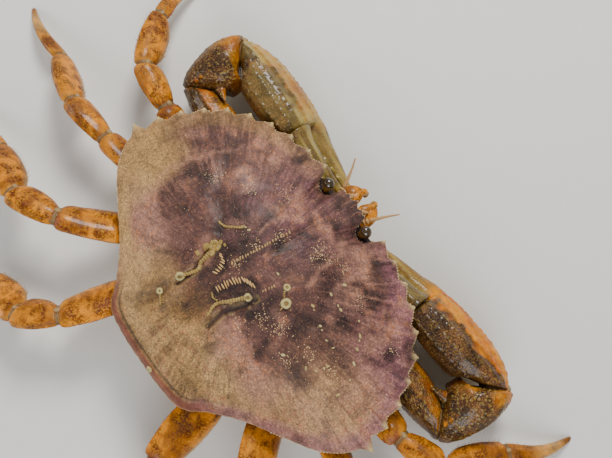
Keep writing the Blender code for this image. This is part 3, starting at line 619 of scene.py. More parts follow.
def dome_ring(share, course, outward, stand, tooth):
    """One ring of the shell's top, with the ridges that run in from its teeth and its own roughness."""
    keep = np.where(stand > 0, smooth((share - 0.87) / 0.13), np.clip((share - 0.6) / 0.4, 0, 1))
    plan = SHELL_CENTRE + (course - SHELL_CENTRE) * share + outward * (stand * keep)[:, None]
    fade = smooth((share - 0.80) / 0.17)
    ridge = (0.55 * tooth - 0.18) * fade * smooth((stand + 1) / 2)
    points = np.column_stack([plan, dome(share, plan[:, 0], plan[:, 1]) + ridge])
    rough = 0.16 * cloud(points, 9.0, 3) + 0.07 * cloud(points, 3.4, 4)
    grains = pebbles(points, 2.3, 11) * (0.16 + 0.10 * cloud(points, 14, 12))
    points[:, 2] += (rough + grains) * smooth((1.0 - share) / 0.03)
    return points


def lip_ring(share_side, share_wall, drop, teeth, course, outward, stand, tooth):
    """One ring below the margin, and its paint: cream below, and painted shade in the eyes' notches."""
    share = share_side + (share_wall - share_side) * steepness(course[:, 0], course[:, 1])
    plan = SHELL_CENTRE + (course - SHELL_CENTRE) * share[:, None] + outward * (stand * teeth)[:, None]
    thin = 1 - TOOTH_THINNING * tooth * smooth(teeth * 2)
    rise = np.maximum(margin_rise(plan[:, 1]) - drop * thin, -FLAT_UNDER)
    if drop >= FLAT_UNDER:
        rise = np.full(len(plan), -FLAT_UNDER)
    points = np.column_stack([plan, rise])
    if 3.0 < drop < FLAT_UNDER:
        points[:, 2] += 0.12 * pebbles(points, 1.9, 15)
    under = smooth((drop - 0.6) / 2.2)
    # Painted shade in the eyes' notches, high under the margin.
    notch = smooth((-stand - 1.0) / 2.0) * smooth((5.5 - drop) / 2)
    pale = 0.55 * under + 0.9 * tooth * (stand > 1.0) + 0.35 * bell(drop - 0.5, 0.5)
    pale = np.clip(pale, 0, 1) * (1 - notch)
    return points, np.column_stack([pale, 0.35 * under * (1 - notch), 0.8 * notch])


def add_shell():
    """The whole back shell, from its domed top round the toothed margin to the flat under it."""
    outline = ShellEdge().outline(0.62, 1.05)
    course, _, stand, tooth = outline
    bearing = np.arctan2(*(course - SHELL_CENTRE).T)
    rings, paint, zones, flow = [], [], [], []
    for share in DOME_SHARES:
        rings.append(dome_ring(share, *outline))
        side, fore, _ = rings[-1].T
        paint.append(shell_paint(share, side, fore, stand, tooth))
        zones.append(shell_zones(side, fore, share))
        flow.append(np.column_stack([np.cos(bearing), np.sin(bearing), share + 0 * side]))
    for row in LIP:
        points, marks = lip_ring(*row, *outline)
        rings.append(points)
        paint.append(marks)
        zones.append(0 * points)
        flow.append(np.column_stack([np.cos(bearing), np.sin(bearing), 1 + 0 * bearing]))
    clay = Clay()
    clay.add_tube(rings, np.concatenate(paint))
    shell = clay.build("back_shell", shell_finish())
    # The two middles that close the tube take the values of the points next to them.
    zones, flow = (np.concatenate([*rows, rows[0][:1], rows[-1][-1:]]) for rows in (zones, flow))
    set_marks(shell.data, zones, "zones")
    set_marks(shell.data, shell_tones(to_crab(mesh_points(shell.data))), "tones")
    lines = shell.data.attributes.new("flow", "FLOAT_VECTOR", "POINT")
    lines.data.foreach_set("vector", flow.astype(np.float32).ravel())
    finish_piece(shell, "shell", "carapace")
def shell_paint(share, side, fore, stand, tooth):
    """Pale tooth tips and groove crests, rust along the tail's rim, and painted shade in the grooves."""
    eye_notch = smooth((-stand - 1.0) / 2.0)
    tip = tooth * smooth((stand - 0.9) / 1.0) * smooth((share - 0.962) / 0.03)
    rim = smooth((share - 0.995) / 0.005) * 0.55 * (1 - eye_notch)
    place = np.column_stack([side, fore, 0 * side])
    middle = np.abs(side - H_SHIFT)
    groove = line_distance(middle, fore, H_COURSE)
    crest = bell(groove - 1.5, 0.75) * smooth(cloud(place, 1.5, 31) * 1.6 + 0.7)
    pale = np.clip(tip + 0.6 * rim + 0.22 * crest, 0, 1)
    tail = smooth((-fore - 38) / 14)
    warm = smooth((share - 0.925) / 0.03) * tail * (1 - 0.4 * smooth((share - 0.985) / 0.01))
    # Painted shade: darker in and beside the middle grooves, along a groove line inside the tail's rim, and
    # in the side grooves as deep as each.
    dark = 0.75 * bell(groove, 1.3)
    dark = dark + 0.5 * bell(line_distance(middle, fore, COMB_COURSE) - 2.2, 2.0)
    dark = dark + 0.7 * bell(share - 0.918, 0.012) * tail
    for course, depth, width in SIDE_GROOVES:
        dark = dark + 0.45 * depth * bell(line_distance(np.abs(side), fore, course), width)
    return np.column_stack([pale, np.clip(warm, 0, 1), np.clip(dark, 0, 1)])


# Dark and light patches of the shell, as seen in the photograph: across, down and radius in its pixels.
DARK_PATCHES = [
    (235, 209, 13), (265, 219, 12), (199, 178, 13), (229, 153, 11), (180, 212, 9), (238, 261, 12),
    (284, 247, 13), (305, 232, 9), (316, 265, 11), (330, 290, 10), (364, 295, 10), (190, 303, 13),
    (212, 300, 10), (258, 318, 12), (297, 328, 12), (330, 353, 14), (290, 374, 12), (343, 325, 8),
    (389, 357, 10), (412, 352, 8), (168, 190, 10), (378, 266, 6), (394, 272, 6), (322, 190, 7),
    (303, 160, 7), (160, 286, 9), (352, 212, 8), (358, 228, 6), (275, 300, 9), (245, 240, 9),
    (215, 225, 8), (345, 365, 8), (308, 300, 7), (222, 250, 7), (262, 345, 7), (340, 205, 7),
    (310, 215, 6), (345, 225, 6), (378, 300, 8), (392, 318, 6), (240, 215, 7), (220, 288, 5),
    (229, 285, 5), (238, 284, 5), (247, 285, 5), (222, 260, 6), (218, 270, 5), (236, 292, 7),
]
LIGHT_PATCHES = [
    (270, 146, 13), (277, 162, 9), (293, 203, 8), (272, 209, 6), (318, 219, 8), (331, 229, 8),
    (341, 247, 7), (355, 261, 9), (366, 270, 8), (150, 182, 14), (146, 200, 12), (150, 229, 14),
    (139, 262, 12), (176, 292, 8), (134, 307, 10), (168, 330, 14), (201, 364, 20), (228, 334, 12),
    (245, 350, 12), (247, 387, 20), (320, 389, 14), (371, 396, 22), (337, 424, 18), (373, 341, 14),
    (396, 330, 11), (242, 173, 8), (205, 262, 6), (352, 300, 7), (404, 306, 7), (300, 415, 16),
    (255, 405, 16), (310, 281, 5), (190, 340, 12), (352, 385, 12), (250, 186, 6), (128, 235, 14),
    (127, 270, 14), (124, 295, 12), (131, 205, 12), (132, 250, 16), (140, 200, 14), (150, 340, 14),
    (163, 372, 16), (320, 410, 12), (350, 412, 14), (222, 392, 16), (280, 392, 12), (140, 318, 12),
    (290, 216, 5), (368, 283, 5),
]
STREAKS = [
    ((345, 246), (331, 257), (318, 269), (306, 282)), ((157, 172), (182, 163), (208, 157), (247, 143)),
    ((341, 292), (352, 281), (364, 274)), ((262, 232), (276, 222), (292, 214)),
]


def surface_of(obj):
    """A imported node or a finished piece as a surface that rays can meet."""
    corners = [obj.matrix_world @ vertex.co for vertex in obj.data.vertices]
    return BVHTree.FromPolygons(corners, [tuple(face.vertices) for face in obj.data.polygons])


def shell_tones(places):
    """Light, dark and rosy shares of each place, from the patches and a little drift of their outlines."""
    tree = surface_of(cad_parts["carapace"])
    drifts = [cloud(places, 8, 44 + k) * 3.4 + cloud(places, 3.0, 47 + k) * 1.5 for k in range(2)]
    plan = places[:, :2] + np.stack(drifts, -1)
    light, dark, rosy = (np.zeros(len(places)) for _ in range(3))
    for spots, found in ((LIGHT_PATCHES, light), (DARK_PATCHES, dark)):
        for across, down, radius in spots:
            centre = seen_at(tree, across, down)[0][:2]
            away = np.linalg.norm(plan - centre, axis=1) / (radius / PIXELS_PER_MM)
            found += 0.95 * np.exp(-away**2)
    for course in STREAKS:
        line = [seen_at(tree, *spot)[0][:2] for spot in course]
        rosy += bell(line_distance(plan[:, 0], plan[:, 1], line), 1.5)
    light += 0.45 * smooth(cloud(places, 5, 51) * 2 - 0.4)
    dark += 0.55 * smooth(cloud(places, 5, 54) * 2 - 0.35)
    rosy += 0.6 * smooth((-plan[:, 0] - 34) / 26) * smooth((26 - plan[:, 1]) / 24)
    return np.clip(np.column_stack([light, dark, rosy]), 0, 1)


def shell_zones(side, fore, share):
    """Tan towards the tail and the left rear, purple along the right margin, and where grains crowd."""
    place = np.column_stack([side, fore, 0 * side])
    wander = 9 * cloud(place, 22, 41) + 4 * cloud(place, 9, 42)
    tan = smooth((-fore - 17 + wander) / 20)
    tan = tan + smooth((side - 42 + wander) / 24) * smooth((18 - fore + 0.5 * wander) / 26)
    tan = tan + 0.4 * smooth((share - 0.86) / 0.10) * smooth((side + 10) / 30)
    tan = tan + 0.9 * smooth((-side - 30 + wander) / 22) * smooth((24 - fore + wander) / 22)
    purple = smooth((-side - 30 + wander) / 28) * smooth((fore - 4) / 20)
    purple = purple + 0.5 * bell(np.hypot(side - 10, fore - 34), 24)
    purple = purple + 1.3 * smooth((share - 0.87) / 0.07) * smooth((-side - 16) / 20)
    tan = tan * (1 - 0.85 * smooth((share - 0.90) / 0.05) * smooth((-side - 20) / 20))
    crowd = smooth(0.5 + cloud(place, 11, 43))
    return np.column_stack([np.clip(tan, 0, 1), np.clip(purple, 0, 1), crowd])


# Small marks on the shell, whose places are the photograph's pixels

# Crowds of grains: across, down and radius.
GRAIN_CLUSTERS = [
    (281, 236, 7), (318, 253, 8), (316, 258, 6), (334, 260, 7), (237, 263, 7), (261, 317, 8), (240, 325, 7),
    (274, 329, 8), (308, 351, 10), (287, 361, 8), (363, 301, 7), (321, 247, 7), (283, 330, 9), (330, 372, 9),
    (250, 190, 9), (285, 195, 9), (215, 175, 10), (345, 270, 6), (255, 245, 6), (392, 350, 9),
]
# Across, down and lean in degrees.
LONG_KNOBS = [
    (278, 274, 62), (313, 306, 30), (314, 310, 30), (338, 306, 55), (341, 310, 55), (331, 294, 60),
    (359, 321, 60), (320, 326, 10), (322, 330, 15), (327, 341, 35), (333, 348, -35), (360, 336, 85),
    (359.5, 341, 85), (357, 349, 60), (354, 364, 70), (350, 380, -20), (324, 368, -15), (328, 366.5, -15),
    (338, 395, -20), (245, 227, 10), (249, 230, 0), (306, 368, 80), (316, 371, 20), (283, 355, 10),
    (345, 285, 20),
]
# Across, down and radius in millimetres.
RINGS = [
    (287, 287.5, 1.15), (286, 303.5, 1.65), (180, 276, 1.55), (160, 291, 1.05), (149.5, 369, 1.0),
    (248, 297.4, 1.35),
]
# Worm tubes: radius in millimetres, and course.
WORM_TUBES = [
    (0.52, [(218.5, 221), (221, 224), (226, 226.5), (233, 227.3), (240, 227.5), (245, 226.5)]),
    (0.95, [(182, 275.6), (186, 274.8), (191.4, 272.8), (199, 269), (200.8, 263), (206, 257.5),
            (211, 251.5)]),
    (0.80, [(207.5, 316.5), (211, 310), (216, 304), (225, 302), (235, 300.4), (243, 298.5), (246, 298)]),
    (0.50, [(284.6, 299), (284, 295), (284.6, 291)]),
    (0.45, [(279.5, 311), (282, 308.5), (284, 306)]),
    (0.50, [(160, 293), (160.5, 298), (160.8, 305)]),
    (0.40, [(211.5, 292), (213.5, 298), (218, 301.5)]),
]
# Yellow lumps: across, down, spread in millimetres and count.
LUMPS = [
    (213.5, 246.0, 2.3, 26), (204, 259, 1.0, 6), (249, 298, 0.9, 6), (232, 301.5, 0.9, 5),
    (197, 252.5, 0.8, 3),
]
# Combs: half length and lean of their bars, and course.
COMBS = [
    (1.75, 62, [(217, 289), (222, 286.6), (228, 283.6), (236, 280.5), (243.5, 279.7), (248, 282),
                (255, 286.6)]),
    (1.35, 35, [(221, 254), (223, 261), (220, 268), (214, 274)]),
    (0.95, 78, [(232, 263), (240, 258.5), (252.6, 252), (266, 245), (277, 238.5), (290, 232)]),
    (0.7, 80, [(263, 291), (268, 289), (275, 286)]),
]
COMB_SPACING = 3.1
PIXELS_PER_MM = 2.25

# The camera as the photograph was taken: the side and fore place that it looks at, its turn, height and
# roll, its distance in metres and its lens.
CAMERA_TARGET = (3.2, -31.1)
CAMERA_ANGLES = (239.5, 78.5, -6.1)
CAMERA_DISTANCE = 0.345
LENS_PIXELS = 811.0


def photo_camera():
    """The camera's place and its directions: right, up and away from what it looks at."""
    turn, height, roll = (math.radians(angle) for angle in CAMERA_ANGLES)
    away = Vector((math.sin(turn) * math.cos(height), -math.cos(turn) * math.cos(height), math.sin(height)))
    across = Vector((math.cos(turn), math.sin(turn), 0))
    up = away.cross(across)
    right = across * math.cos(roll) + up * math.sin(roll)
    side, fore = (target * MM + shift for target, shift in zip(CAMERA_TARGET, SHIFT))
    return Vector((side, fore, FLOOR_DEPTH * MM)) + away * CAMERA_DISTANCE, right, away.cross(right), away


def seen_at(tree, across, down):
    """The crab's place and outward direction on a surface that the photograph shows at a pixel."""
    eye, right, up, away = photo_camera()
    aside, above = (across - PHOTO_WIDTH / 2) / LENS_PIXELS, (PHOTO_HEIGHT / 2 - down) / LENS_PIXELS
    hit, normal, _, _ = tree.ray_cast(eye, (-away + right * aside + up * above).normalized())
    if hit is None:
        raise RuntimeError(f"nothing lies at {across}, {down}")
    return to_crab(hit), unit(crab_direction(normal))


def crab_direction(direction):
    return np.array([direction[0], -direction[1], direction[2]])


def laid_at(tree, across, down, lean):
    """A place on the shell under a pixel, with axes along a lean seen in the photograph and outwards."""
    _, right, up, _ = photo_camera()
    place, out = seen_at(tree, across, down)
    lean = math.radians(lean)
    line = crab_direction(right * math.cos(lean) - up * math.sin(lean))
    line = unit(line - np.dot(line, out) * out)
    return place, np.stack([line, np.cross(out, line), out])


class Sprinkle:
    """Many copies of one primitive, each with its own place, turn, size and paint."""

    def __init__(self, kind, **settings):
        self.pattern, self.faces = pattern_of(kind, **settings)
        self.items = []

    def add(self, place, axes, scale, paint=(0, 0, 0)):
        """Place in crab millimetres; axes are three rows, the last one outwards."""
        self.items.append((self.pattern * np.asarray(scale, float) @ axes + place, paint))

    def into(self, clay):
        faces = facing_out(self.items[0][0], self.faces)
        for points, paint in self.items:
            clay.add(points, faces, paint)
        return clay

    def build(self, name, finish):
        return self.into(Clay()).build(name, finish)



def add_grains(tree):
    """Pearly grains over the shell: loose ones everywhere and crowded ones on its swellings."""
    sprinkle = Sprinkle("ico_sphere", subdivisions=1, radius=1.0)
    chance = random.Random(8)
    spots = []
    for across, down, radius in GRAIN_CLUSTERS:
        centre, spread = seen_at(tree, across, down)[0], radius * 0.25
        for _ in range(int(radius * 4.5)):
            spots.append((centre[0] + chance.gauss(0, spread), centre[1] + chance.gauss(0, spread), True))
    for _ in range(1000):
        spots.append((chance.uniform(-86, 86), chance.uniform(-58, 58), False))
    for side, fore, crowded in spots:
        hit, normal, _, _ = tree.ray_cast(Vector(to_world([side, fore, 60.0])), Vector((0, 0, -1)))
        if hit is None or normal.z < 0.5:
            continue
        place, out = to_crab(hit), unit(crab_direction(normal))
        radius = size("shell_grains") * (chance.uniform(0.48, 1.0) if crowded else chance.uniform(0.4, 0.72))
        if chance.random() < 0.06:
            radius *= 1.4
        pale = chance.uniform(0.0, 0.5 if crowded else 0.15)
        scale = (radius, radius, radius * 0.8)
        sprinkle.add(place - out * radius * 0.25, basis(out), scale, (pale, 0.2 * (1 - pale), 0))
    finish_piece(sprinkle.build("shell_grains", grain_finish()), "shell")


def add_margin_beads():
    """The cream beads that stand in a line along the shell's toothed margin."""
    sprinkle = Sprinkle("ico_sphere", subdivisions=1, radius=1.0)
    chance = random.Random(9)
    for course, outward, stand, tooth in zip(*ShellEdge().outline(1.12, 1.3)):
        if course[1] < -30 and abs(course[0]) < 60:
            continue
        plan = SHELL_CENTRE + (course - SHELL_CENTRE) * 1.001 + outward * stand
        place = np.array([*plan, float(margin_rise(plan[1])) - 0.55])
        radius = size("margin_beads") * (1 + chance.uniform(-0.25, 0.25)) * (1 - 0.35 * tooth)
        scale = (radius * 1.15, radius, radius * 0.9)
        sprinkle.add(place, basis(unit((*outward, 0.25))), scale, (0.85, 0.15, 0))
    finish_piece(sprinkle.build("margin_beads", grain_finish()), "shell")


def add_comb(tree):
    """Rows of short bars beside the middle grooves."""
    sprinkle = Sprinkle("ico_sphere", subdivisions=2, radius=1.0)
    chance = random.Random(10)
    for half, lean, course in COMBS:
        along = distances_along(course)
        for distance in np.arange(0, along[-1], COMB_SPACING):
            spot = [np.interp(distance, along, line) + chance.uniform(-0.4, 0.4) for line in zip(*course)]
            place, axes = laid_at(tree, *spot, lean + chance.uniform(-9, 9))
            wide = size("comb_bars")
            scale = (half * chance.uniform(0.65, 1.1), wide, 1.15 * wide * chance.uniform(0.6, 1.1))
            dull = chance.uniform(0.25, 0.6) if half < 1.0 else chance.uniform(0, 0.15)
            sprinkle.add(place - axes[2] * 0.08, axes, scale, (chance.uniform(0.0, 0.6), 0, dull))
    finish_piece(sprinkle.build("groove_comb", comb_finish()), "shell")


def add_crusts(tree):
    """Chalky knobs, rings, lumps and curved tubes that grow on the shell where the photograph shows them."""
    clay = Clay()
    chance = random.Random(12)
    knobs = Sprinkle("ico_sphere", subdivisions=3, radius=1.0)
    for across, down, lean in LONG_KNOBS:
        place, axes = laid_at(tree, across, down, lean)
        scale = np.array((0.85, 0.48, 0.42)) * chance.uniform(0.7, 1.2)
        knobs.add(place - axes[2] * 0.1, axes, scale, (chance.uniform(0.4, 0.8), 0, 0))
    for across, down, spread, count in LUMPS:
        for _ in range(count):
            spot = [value + chance.gauss(0, spread * 0.6) * PIXELS_PER_MM for value in (across, down)]
            place, axes = laid_at(tree, *spot, chance.uniform(0, 180))
            scale = np.array((1.1, 0.9, 0.7)) * chance.uniform(0.5, 1.1) * (0.45 + 0.4 * spread)
            knobs.add(place, axes, scale, (chance.uniform(0, 0.3), 0, chance.uniform(0, 0.3)))
    rings = Sprinkle("torus", major_segments=28, minor_segments=10, major_radius=0.92, minor_radius=0.40)
    middles = Sprinkle("ico_sphere", subdivisions=3, radius=1.0)
    for across, down, wide in RINGS:
        place, out = seen_at(tree, across, down)
        squeeze = chance.uniform(0.82, 1.0)
        rings.add(place + out * 0.15, basis(out), (wide * squeeze, wide, wide * 1.3), (0.62, 0, 0))
        # A darker disc in each ring's middle: painted shade in its hollow.
        middles.add(place + out * 0.1, basis(out), (wide * 0.75, wide * 0.75, wide * 0.25), (0, 0, 0.5))
    for sprinkle in (knobs, rings, middles):
        sprinkle.into(clay)
    for radius, spots in WORM_TUBES:
        path = np.array([seen_at(tree, *spot)[0] for spot in spots])
        path[:, 2] += 0.5 * radius
        clay.add_tube(*worm_rings(path, radius))
    crusts = clay.build("shell_crusts", crust_finish())
    soften(crusts, 0.22, 0.9)
    finish_piece(crusts, "shell")


WORM_ANGLES = full_turn(14)


def worm_rings(path, radius):
    """Rings and paint of a wrinkled tube along a path, wider at its open end, paler on each wrinkle's ridge
    as painted light and darker in its crease as painted shade.
    """
    along = distances_along(path)
    count = int(along[-1] / 0.3) + 4
    shares = np.linspace(0, 1, count)
    line = curve_through(np.column_stack([along / along[-1], path]), shares)
    rings, paint = [], []
    for k, share in enumerate(shares):
        forward = line[min(k + 1, count - 1)] - line[max(k - 1, 0)]
        wrinkle = math.sin(k * 1.7)
        width = radius * (0.75 + 0.35 * share) * (1 + 0.13 * wrinkle) * (0.5 if k in (0, count - 1) else 1)
        rings.append(ring(line[k], forward, (0, 0, 1), width, width, WORM_ANGLES))
        # Painted shade in each wrinkle's crease over a mottled stain; the pale share below is painted light
        # on its ridge.
        stain_and_crease_shade = 0.30 - 0.25 * wrinkle + 0.3 * cloud(line[k], 1.6, 78)
        paint += [(0.08 + 0.15 * wrinkle + 0.15 * share, 0, stain_and_crease_shade)] * len(WORM_ANGLES)
    return rings, paint


def soften(obj, depth, lump):
    """Roughens a finished mesh a little along its normals, by lumps of the given width."""
    points = mesh_points(obj.data)
    raise_skin(obj, points, mesh_normals(obj.data), cloud(points / MM, lump, 77) * depth)


# Finishes


def paint_colour(red, green, blue):
    """A screen colour of 0 to 255 a channel, as the linear colour that a shader takes."""
    shares = [value / 255 for value in (red, green, blue)]
    return tuple(share / 12.92 if share <= 0.04045 else ((share + 0.055) / 1.055) ** 2.4 for share in shares)


def darker(colour, share):
    return tuple(share * value for value in colour)


class Shades:
    """Adds shader nodes to a node tree and joins them."""

    def __init__(self, tree):
        self.tree = tree

    def node(self, kind, settings=None, **inputs):
        node = self.tree.nodes.new(f"ShaderNode{kind}")
        for key, value in (settings or {}).items():
            setattr(node, key, value)
        for key, value in inputs.items():
            self.feed(node.inputs[key.replace("_", " ")], value)
        return node

    def feed(self, socket, value):
        if isinstance(value, bpy.types.NodeSocket):
            self.tree.links.new(value, socket)
        else:
            socket.default_value = (*value, 1) if socket.type == "RGBA" else value

    def maths(self, operation, first, second, clamp=False):
        node = self.node("Math", {"operation": operation, "use_clamp": clamp})
        self.feed(node.inputs[0], first)
        self.feed(node.inputs[1], second)
        return node.outputs[0]

    def times(self, first, second):
        return self.maths("MULTIPLY", first, second)

    def plus(self, first, second):
        return self.maths("ADD", first, second)

    def less(self, first, second):
        return self.maths("SUBTRACT", first, second)

    def mix(self, share, first, second):
        node = self.node("Mix", {"data_type": "RGBA"}, Factor=share)
        self.feed(node.inputs[6], first)
        self.feed(node.inputs[7], second)
        return node.outputs[2]

    def stain(self, base, mask, amount, colour):
        """The base, turned towards a colour by an amount where the mask lies."""
        return self.mix(self.times(mask, amount), base, colour)

    def ramp(self, value, low, high):
        settings = {"interpolation_type": "SMOOTHSTEP"}
        return self.node("MapRange", settings, Value=value, From_Min=low, From_Max=high).outputs["Result"]

    def split(self, colour):
        """The red, green and blue shares of a colour."""
        outputs = self.node("SeparateColor", Color=colour).outputs
        return [outputs[name] for name in ("Red", "Green", "Blue")]


def new_group(name, width, outputs):
    """An empty shader node group that takes a place and a width and gives the named values."""
    tree = bpy.data.node_groups.new(name, "ShaderNodeTree")
    tree.interface.new_socket(name="Vector", in_out="INPUT", socket_type="NodeSocketVector")
    socket = tree.interface.new_socket(name="Size", in_out="INPUT", socket_type="NodeSocketFloat")
    socket.default_value = width
    for label in outputs:
        tree.interface.new_socket(name=label, in_out="OUTPUT", socket_type="NodeSocketFloat")
    given = tree.nodes.new("NodeGroupInput").outputs
    return Shades(tree), given, tree.nodes.new("NodeGroupOutput").inputs


def mottle_group():
    """Cloudy patches with smaller ones inside them. Size is their width in millimetres."""
    shades, given, out = new_group("mottle", 8.0, ("Patches", "Specks"))
    place, scale = given["Vector"], shades.maths("DIVIDE", 1.0, given["Size"])
    large = shades.node("TexNoise", Vector=place, Scale=scale, Detail=3.0, Roughness=0.55, Distortion=0.6)
    small = shades.node("TexNoise", Vector=place, Scale=shades.times(scale, 7.3), Detail=2.0, Roughness=0.6)
    shades.feed(out["Patches"], shades.ramp(large.outputs["Fac"], 0.36, 0.64))
    shades.feed(out["Specks"], shades.ramp(small.outputs["Fac"], 0.44, 0.66))
    return shades.tree


def grain_group():
    """Rounded grains packed over a surface. Size is their spacing in millimetres."""
    shades, given, out = new_group("grain", 1.0, ("Height", "Tips"))
    scale = shades.maths("DIVIDE", 1.0, given["Size"])
    cells = shades.node("TexVoronoi", Vector=given["Vector"], Scale=scale, Randomness=0.85)
    height = shades.ramp(shades.less(1.0, cells.outputs["Distance"]), 0.45, 1.0)
    shades.feed(out["Height"], height)
    chosen = shades.split(cells.outputs["Color"])[0]
    shades.feed(out["Tips"], shades.times(shades.ramp(height, 0.45, 0.9), shades.ramp(chosen, 0.25, 0.9)))
    return shades.tree


class Finish(Shades):
    """A new material with its shader, and millimetre coordinates fixed to the crab."""

    def __init__(self, name):
        self.material = bpy.data.materials.new(name)
        self.material.use_nodes = True
        super().__init__(self.material.node_tree)
        place = self.node("TexCoord").outputs["Object"]
        self.place = self.node("Mapping", Vector=place, Scale=(1000, 1000, 1000)).outputs["Vector"]

    def group(self, name, make, width):
        """The outputs of a shared node group, made when it is first needed."""
        settings = {"node_tree": bpy.data.node_groups.get(name) or make()}
        return self.node("Group", settings, Vector=self.place, Size=width).outputs

    def mottle(self, width):
        return self.group("mottle", mottle_group, width)

    def grain(self, width):
        return self.group("grain", grain_group, width)

    def marks(self, name="marks"):
        """Three shares painted on a mesh."""
        return self.split(self.node("Attribute", {"attribute_name": name}).outputs["Color"])

    def shader(self, **values):
        """Feeds the shader's sockets."""
        for key, value in values.items():
            self.feed(self.tree.nodes["Principled BSDF"].inputs[key.replace("_", " ")], value)

    def lift(self, pieces, millimetres):
        """One bump from several (height, weight) pairs."""
        total = None
        for height, weight in pieces:
            part = self.times(height, weight)
            total = part if total is None else self.plus(total, part)
        bump = self.node("Bump", Strength=1.0, Distance=millimetres * MM, Height=total)
        self.shader(Normal=bump.outputs["Normal"])


def hard_finish(name, shades_of, patch_size, grain_size, roughness, coat, grain_depth=0.12, blotch=0.0,
                speckle=0.45):
    """Shell-like skin: two mottled colours, lighter grains, and the marks painted on the mesh."""
    found = bpy.data.materials.get(name)
    if found:
        return found
    deep, middle, light, pale, warm = shades_of
    skin = Finish(name)
    patches, specks = skin.mottle(patch_size)
    height, tips = skin.grain(grain_size)
    pale_mark, warm_mark, dark_mark = skin.marks()
    base = skin.mix(patches, deep, middle)
    base = skin.stain(base, specks, speckle, light)
    base = skin.stain(base, tips, 0.5, light)
    warm_deep = darker(warm, 0.45)
    warm_mixed = skin.stain(warm, patches, 0.8, warm_deep)
    drift, flames = skin.mottle(patch_size * 2.6)
    warm_mixed = skin.stain(warm_mixed, drift, 0.75, colours().golden)
    warm_mixed = skin.stain(warm_mixed, flames, 0.35, warm_deep)
    warm_mixed = skin.stain(warm_mixed, tips, 0.2, light)
    base = skin.mix(warm_mark, base, warm_mixed)
    stains, fine_stains = skin.mottle(patch_size * 1.9)
    clear = skin.less(1.0, skin.times(warm_mark, 0.7))
    stain_and_crease_shade = skin.times(skin.ramp(stains, 0.45, 1.0), blotch)
    base = skin.stain(base, stain_and_crease_shade, clear, skin.mix(fine_stains, deep, darker(deep, 0.5)))
    base = skin.mix(pale_mark, base, skin.stain(pale, specks, 0.6, darker(pale, 0.55)))
    base = skin.mix(dark_mark, base, darker(deep, 0.35))
    rough = skin.less(skin.plus(skin.times(specks, 0.16), roughness), skin.times(tips, 0.1))
    skin.shader(Base_Color=base, Roughness=rough, Coat_Weight=skin.times(skin.less(1.0, warm_mark), coat))
    skin.shader(Coat_Roughness=0.10, Specular_IOR_Level=0.2)
    skin.lift([(height, 1.0), (specks, 0.35)], grain_depth)
    return skin.material


def colours():
    return bpy.context.scene.crab_colours


# How often the shell's streaks repeat round it and outwards.
STREAK_SCALE = (30, 30, 4.5)


